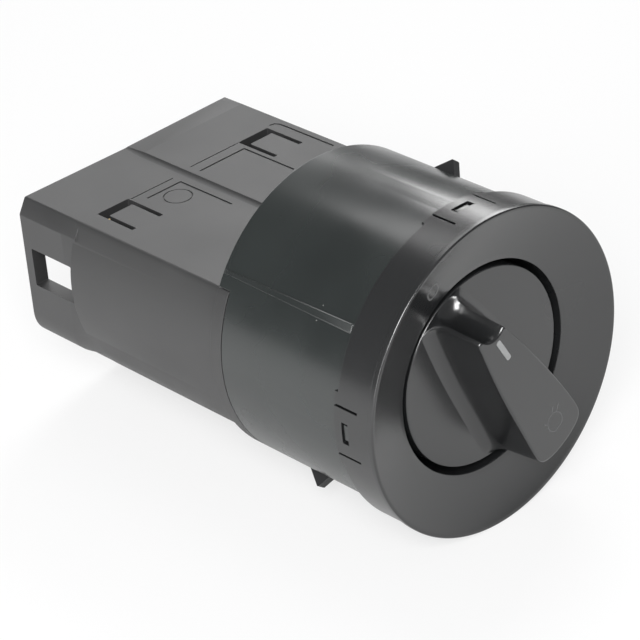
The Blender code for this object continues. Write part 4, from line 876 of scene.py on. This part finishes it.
def softLeast(values, softness):
    # smooth minimum, so faces meet in a small round
    least = min(values)
    return least - softness * math.log(sum(math.exp((least - v) / softness) for v in values))


def gripRadius(k, turn, height, inset):
    # distance from the axis to the grip's side at an angle from its narrow end, at a height over the disc
    rise = max(k["gripFillet"] - height, 0.0)
    flare = k["gripFillet"] - math.sqrt(max(k["gripFillet"] ** 2 - rise ** 2, 0.0))
    end = k["discRadius"] - k["endSetback"] - endDraft * height
    soft = (cornerSoft["middle"] - cornerSoft["swing"] * math.cos(turn)) * mm
    flank = flankShape["far" if turn > 0 else "near"]
    low = 0.0
    high = end
    for _ in range(searchSteps):  # where the ray meets the flank
        r = (low + high) / 2
        u = r * math.cos(turn)
        v = abs(r * math.sin(turn))
        bow = u * u * (flank["narrowBow"] if u > 0 else flank["wideBow"])
        width = flank["half"] * mm - flank["taper"] * u - bow + gripDraft * (k["gripHeight"] - height) + flare
        if softLeast([width - v, end - r], soft) > 0:
            low = r
        else:
            high = r
    limits = [low]
    if abs(turn) < math.pi / 2:
        # hollow narrow end, open towards the far side
        foot = k["scoopFoot"] + (k["scoopTop"] - k["scoopFoot"]) * height / k["gripHeight"] + flare
        centre = foot + k["scoopRadius"]
        along = centre * math.cos(turn) + k["scoopAside"] * math.sin(turn)
        spare = along ** 2 - centre ** 2 - k["scoopAside"] ** 2 + k["scoopRadius"] ** 2
        if spare > 0:
            limits.append(along - math.sqrt(spare))
    return softLeast(limits, k["scoopSoft"]) - inset


def gripMesh(k, levels):
    bm = bmesh.new()
    rings = []
    for height, inset in levels:
        ring = []
        for i in range(gripSides):
            turn = math.tau * i / gripSides
            turn -= endCrowding * math.sin(2 * turn)
            turn = math.atan2(math.sin(turn), math.cos(turn))
            r = gripRadius(k, turn, max(height, k["leastHeight"]), inset)
            ring.append(bm.verts.new((r * math.sin(turn), -height, r * math.cos(turn))))
        rings.append(ring)
    bridge(bm, rings)
    return meshFrom(bm, "grip")


def barOutline(k, spare):
    half = k["barWidth"] / 2 + spare
    reach = k["barLength"] / 2 + spare
    return roundCorners([(-half, -reach, half), (half, -reach, half), (half, reach, half), (-half, reach, half)], 6)


def makeKnob():
    k = {key: value * mm for key, value in knobShape.items()}
    inner = k["discRadius"] - k["skirtWall"]
    back = k["discFront"] + k["discThickness"]
    loop = roundCorners([(0.0, k["discFront"], 0.0), (k["discRadius"], k["discFront"], k["edge"]),
                         (k["discRadius"], k["skirtBack"], k["skirtEdge"]), (inner, k["skirtBack"], 0.0),
                         (inner, back, 0.0), (0.0, back, 0.0)], 6)
    knob = spun("knobBody", loop, 240)
    levels = [(-k["discThickness"] / 2, 0.0)]
    levels += [(k["gripFillet"] * (1 - math.cos(math.radians(a))), 0.0) for a in filletTurns]
    top = k["gripHeight"] - k["gripEdge"]
    levels += [(k["gripFillet"] + (top - k["gripFillet"]) * i / flankLevels, 0.0)
               for i in range(1, flankLevels)]
    for a in gripEdgeTurns:
        turn = math.radians(a)
        levels.append((top + k["gripEdge"] * math.sin(turn), k["gripEdge"] * (1 - math.cos(turn))))
    grip = objectFrom(gripMesh(k, levels), "grip", y=k["discFront"])
    joinOn(knob, grip)
    cutOut(knob, drawn("pocket", barOutline(k, k["pocketGap"]), 2 * k["pocketDepth"], x=k["barAside"],
                       y=k["discFront"] - k["gripHeight"] - k["pocketDepth"], z=k["barMiddle"]))
    knob.rotation_euler = (0.0, math.radians(knobAngle), 0.0)
    settle(knob)
    finishPiece(knob, finishes["satinFace"], "knob_group", "knob", sharp=38.0, slot="satin_face",
                flats=[(0, -1, 0), (0, 1, 0)])
    # the white bar takes the greyed finish, with painted shade in its colour
    bar = drawn("indicatorBar", barOutline(k, 0.0), mm, x=k["barAside"],
                y=k["discFront"] - k["gripHeight"] + k["barSetback"], z=k["barMiddle"])
    settle(bar)  # its place first, so that it then turns about the knob's axis
    bar.rotation_euler = (0.0, math.radians(knobAngle), 0.0)
    settle(bar)
    finishPiece(bar, finishes["indicatorWhite"], "knob_group", "knob_indicator", slot="indicator_white")
    makeLampMark(k)


lampMark = {
    "middle": -13.0, "across": 0.4, "radius": 2.1, "stretch": 1.1, "line": 0.22, "rayLine": 1.3, "lift": 0.02,
    "sweep": 300, "steps": 40,
    # rays of the lamp, as start and end (across, along)
    "rays": (((1.9, -11.4), (3.2, -10.5)), ((0.9, -10.55), (1.9, -9.6)), ((-1.4, -11.6), (-1.9, -10.9))),
}


def flatLine(name, points, width, y, lift, closed=False):
    # thin flat line on the grip's front, from (x, z) points
    if not closed:
        return drawn(name, linePath(points, width), 2 * lift, y=y - lift)
    bm = bmesh.new()
    outer = [Vector(p) for p in points]
    middle = sum(outer, Vector((0.0, 0.0))) / len(outer)
    inner = [p + (middle - p).normalized() * width for p in outer]
    rings = [[bm.verts.new((p.x, depth, p.y)) for p in loop]
             for loop, depth in ((outer, y - lift), (inner, y - lift), (inner, y + lift), (outer, y + lift))]
    bridge(bm, rings + rings[:1], capped=False)
    return objectFrom(meshFrom(bm, name), name)


def makeLampMark(k):
    # faint lamp symbol moulded on the grip's wide end
    y = k["discFront"] - k["gripHeight"]
    lift = lampMark["lift"] * mm
    bulb = []
    for i in range(lampMark["steps"] + 1):
        turn = math.radians(lampMark["sweep"] * i / lampMark["steps"] - lampMark["sweep"] / 2)
        bulb.append(((lampMark["across"] + lampMark["radius"] * math.sin(turn)) * mm,
                     (lampMark["middle"] + lampMark["radius"] * lampMark["stretch"] * math.cos(turn)) * mm))
    pieces = [flatLine("lampBulb", bulb, lampMark["line"] * mm, y, lift, True)]
    for start, end in lampMark["rays"]:
        points = [(start[0] * mm, start[1] * mm), (end[0] * mm, end[1] * mm)]
        pieces.append(flatLine("lampRay", points, lampMark["line"] * lampMark["rayLine"] * mm, y, lift))
    for piece in pieces:
        piece.rotation_euler = (0.0, math.radians(knobAngle), 0.0)
        settle(piece)
        finishPiece(piece, finishes["faintMark"], "knob_group", slot="satin_face")


makeKnob()
print("knob made")


# Camera, floor and light

white = (1.0, 1.0, 1.0, 1.0)
# angles in degrees, distances in mm, focal length and picture in pixels
cameraShape = {
    "azimuth": -41.314, "elevation": 30.281, "roll": -5.133, "distance": 599.126, "focal": 2931.8,
    "target": (-0.183, 39.3, -6.358), "picture": 640, "sensor": 36.0, "clip": (0.01, 20.0),
}


def makeCamera():
    azimuth = math.radians(cameraShape["azimuth"])
    elevation = math.radians(cameraShape["elevation"])
    roll = math.radians(cameraShape["roll"])
    back = Vector((math.sin(azimuth) * math.cos(elevation), -math.cos(azimuth) * math.cos(elevation),
                   math.sin(elevation)))
    across = Vector((math.cos(azimuth), math.sin(azimuth), 0.0))
    rise = back.cross(across)
    right = across * math.cos(roll) + rise * math.sin(roll)
    up = rise * math.cos(roll) - across * math.sin(roll)
    data = bpy.data.cameras.new("camera")
    data.sensor_width = cameraShape["sensor"]
    data.lens = cameraShape["focal"] * data.sensor_width / cameraShape["picture"]
    data.clip_start, data.clip_end = cameraShape["clip"]
    camera = bpy.data.objects.new("camera", data)
    bpy.context.scene.collection.objects.link(camera)
    place = (Vector(cameraShape["target"]) + back * cameraShape["distance"]) * mm
    turn = Matrix((right, up, back)).transposed().to_4x4()
    camera.matrix_world = Matrix.Translation(place) @ turn
    bpy.context.scene.camera = camera


floorShape = {
    "size": 6.0, "gap": 0.05 * mm, "paleness": 0.86, "roughness": 0.9, "specular": 0.1,
    "shadowShare": 0.3,  # how much of the shadow the camera sees on the white floor
}


def makeFloor():
    level = cadBox[0].z - floorShape["gap"]
    bm = bmesh.new()
    half = floorShape["size"] / 2
    bm.faces.new([bm.verts.new((x * half, y * half, level)) for x, y in ((-1, -1), (1, -1), (1, 1), (-1, 1))])
    floor = objectFrom(meshFrom(bm, "floor"), "floor")
    made = bpy.data.materials.new("paleFloor")
    made.use_nodes = True
    tree = made.node_tree
    shader = tree.nodes["Principled BSDF"]
    shader.inputs["Base Color"].default_value = (floorShape["paleness"],) * 3 + (1.0,)
    shader.inputs["Roughness"].default_value = floorShape["roughness"]
    shader.inputs["Specular IOR Level"].default_value = floorShape["specular"]
    glow = addNode(tree, "ShaderNodeEmission")
    glow.inputs["Color"].default_value = white
    rays = addNode(tree, "ShaderNodeLightPath")
    seen = addNode(tree, "ShaderNodeMath", operation="MULTIPLY")
    seen.inputs[1].default_value = 1.0 - floorShape["shadowShare"]
    tree.links.new(rays.outputs["Is Camera Ray"], seen.inputs[0])
    mix = addNode(tree, "ShaderNodeMixShader")
    tree.links.new(seen.outputs[0], mix.inputs[0])
    tree.links.new(shader.outputs[0], mix.inputs[1])
    tree.links.new(glow.outputs[0], mix.inputs[2])
    tree.links.new(mix.outputs[0], tree.nodes["Material Output"].inputs["Surface"])
    floor.data.materials.append(made)


lampShapes = {
    # name: place in metres and watts
    "frontSoftbox": ((-0.58, -0.54, 0.57), 11.6),
    "sideSoftbox": ((-0.98, 0.04, 0.21), 2.6),
    "farSoftbox": ((0.71, 0.45, 0.57), 3.5),
    "rearSoftbox": ((0.49, 0.89, 0.21), 1.1),
    "highSoftbox": ((0.25, 0.47, 0.87), 1.3),
}
lampAim = (0.0, 0.04, 0.0)
lampSize = 0.42
skyLook = {"colour": (0.98, 0.99, 1.0, 1.0), "strength": 0.22}


def makeLamps():
    for name, (place, watts) in lampShapes.items():
        data = bpy.data.lights.new(name, "AREA")
        data.shape = "SQUARE"
        data.size = lampSize
        data.energy = watts
        made = bpy.data.objects.new(name, data)
        bpy.context.scene.collection.objects.link(made)
        made.location = place
        made.rotation_mode = "QUATERNION"
        made.rotation_quaternion = (Vector(lampAim) - Vector(place)).to_track_quat("-Z", "Y")
    world = bpy.data.worlds.new("studio")
    bpy.context.scene.world = world
    world.use_nodes = True
    tree = world.node_tree
    tree.nodes.clear()
    plain = addNode(tree, "ShaderNodeBackground")
    plain.inputs["Color"].default_value = skyLook["colour"]
    plain.inputs["Strength"].default_value = skyLook["strength"]
    backdrop = addNode(tree, "ShaderNodeBackground")
    backdrop.inputs["Color"].default_value = white
    rays = addNode(tree, "ShaderNodeLightPath")
    mix = addNode(tree, "ShaderNodeMixShader")
    tree.links.new(rays.outputs["Is Camera Ray"], mix.inputs[0])
    tree.links.new(plain.outputs[0], mix.inputs[1])
    tree.links.new(backdrop.outputs[0], mix.inputs[2])
    output = addNode(tree, "ShaderNodeOutputWorld")
    tree.links.new(mix.outputs[0], output.inputs["Surface"])


makeCamera()
makeFloor()
makeLamps()
bpy.context.scene.view_settings.view_transform = "Standard"
print("camera, floor and lamps made")
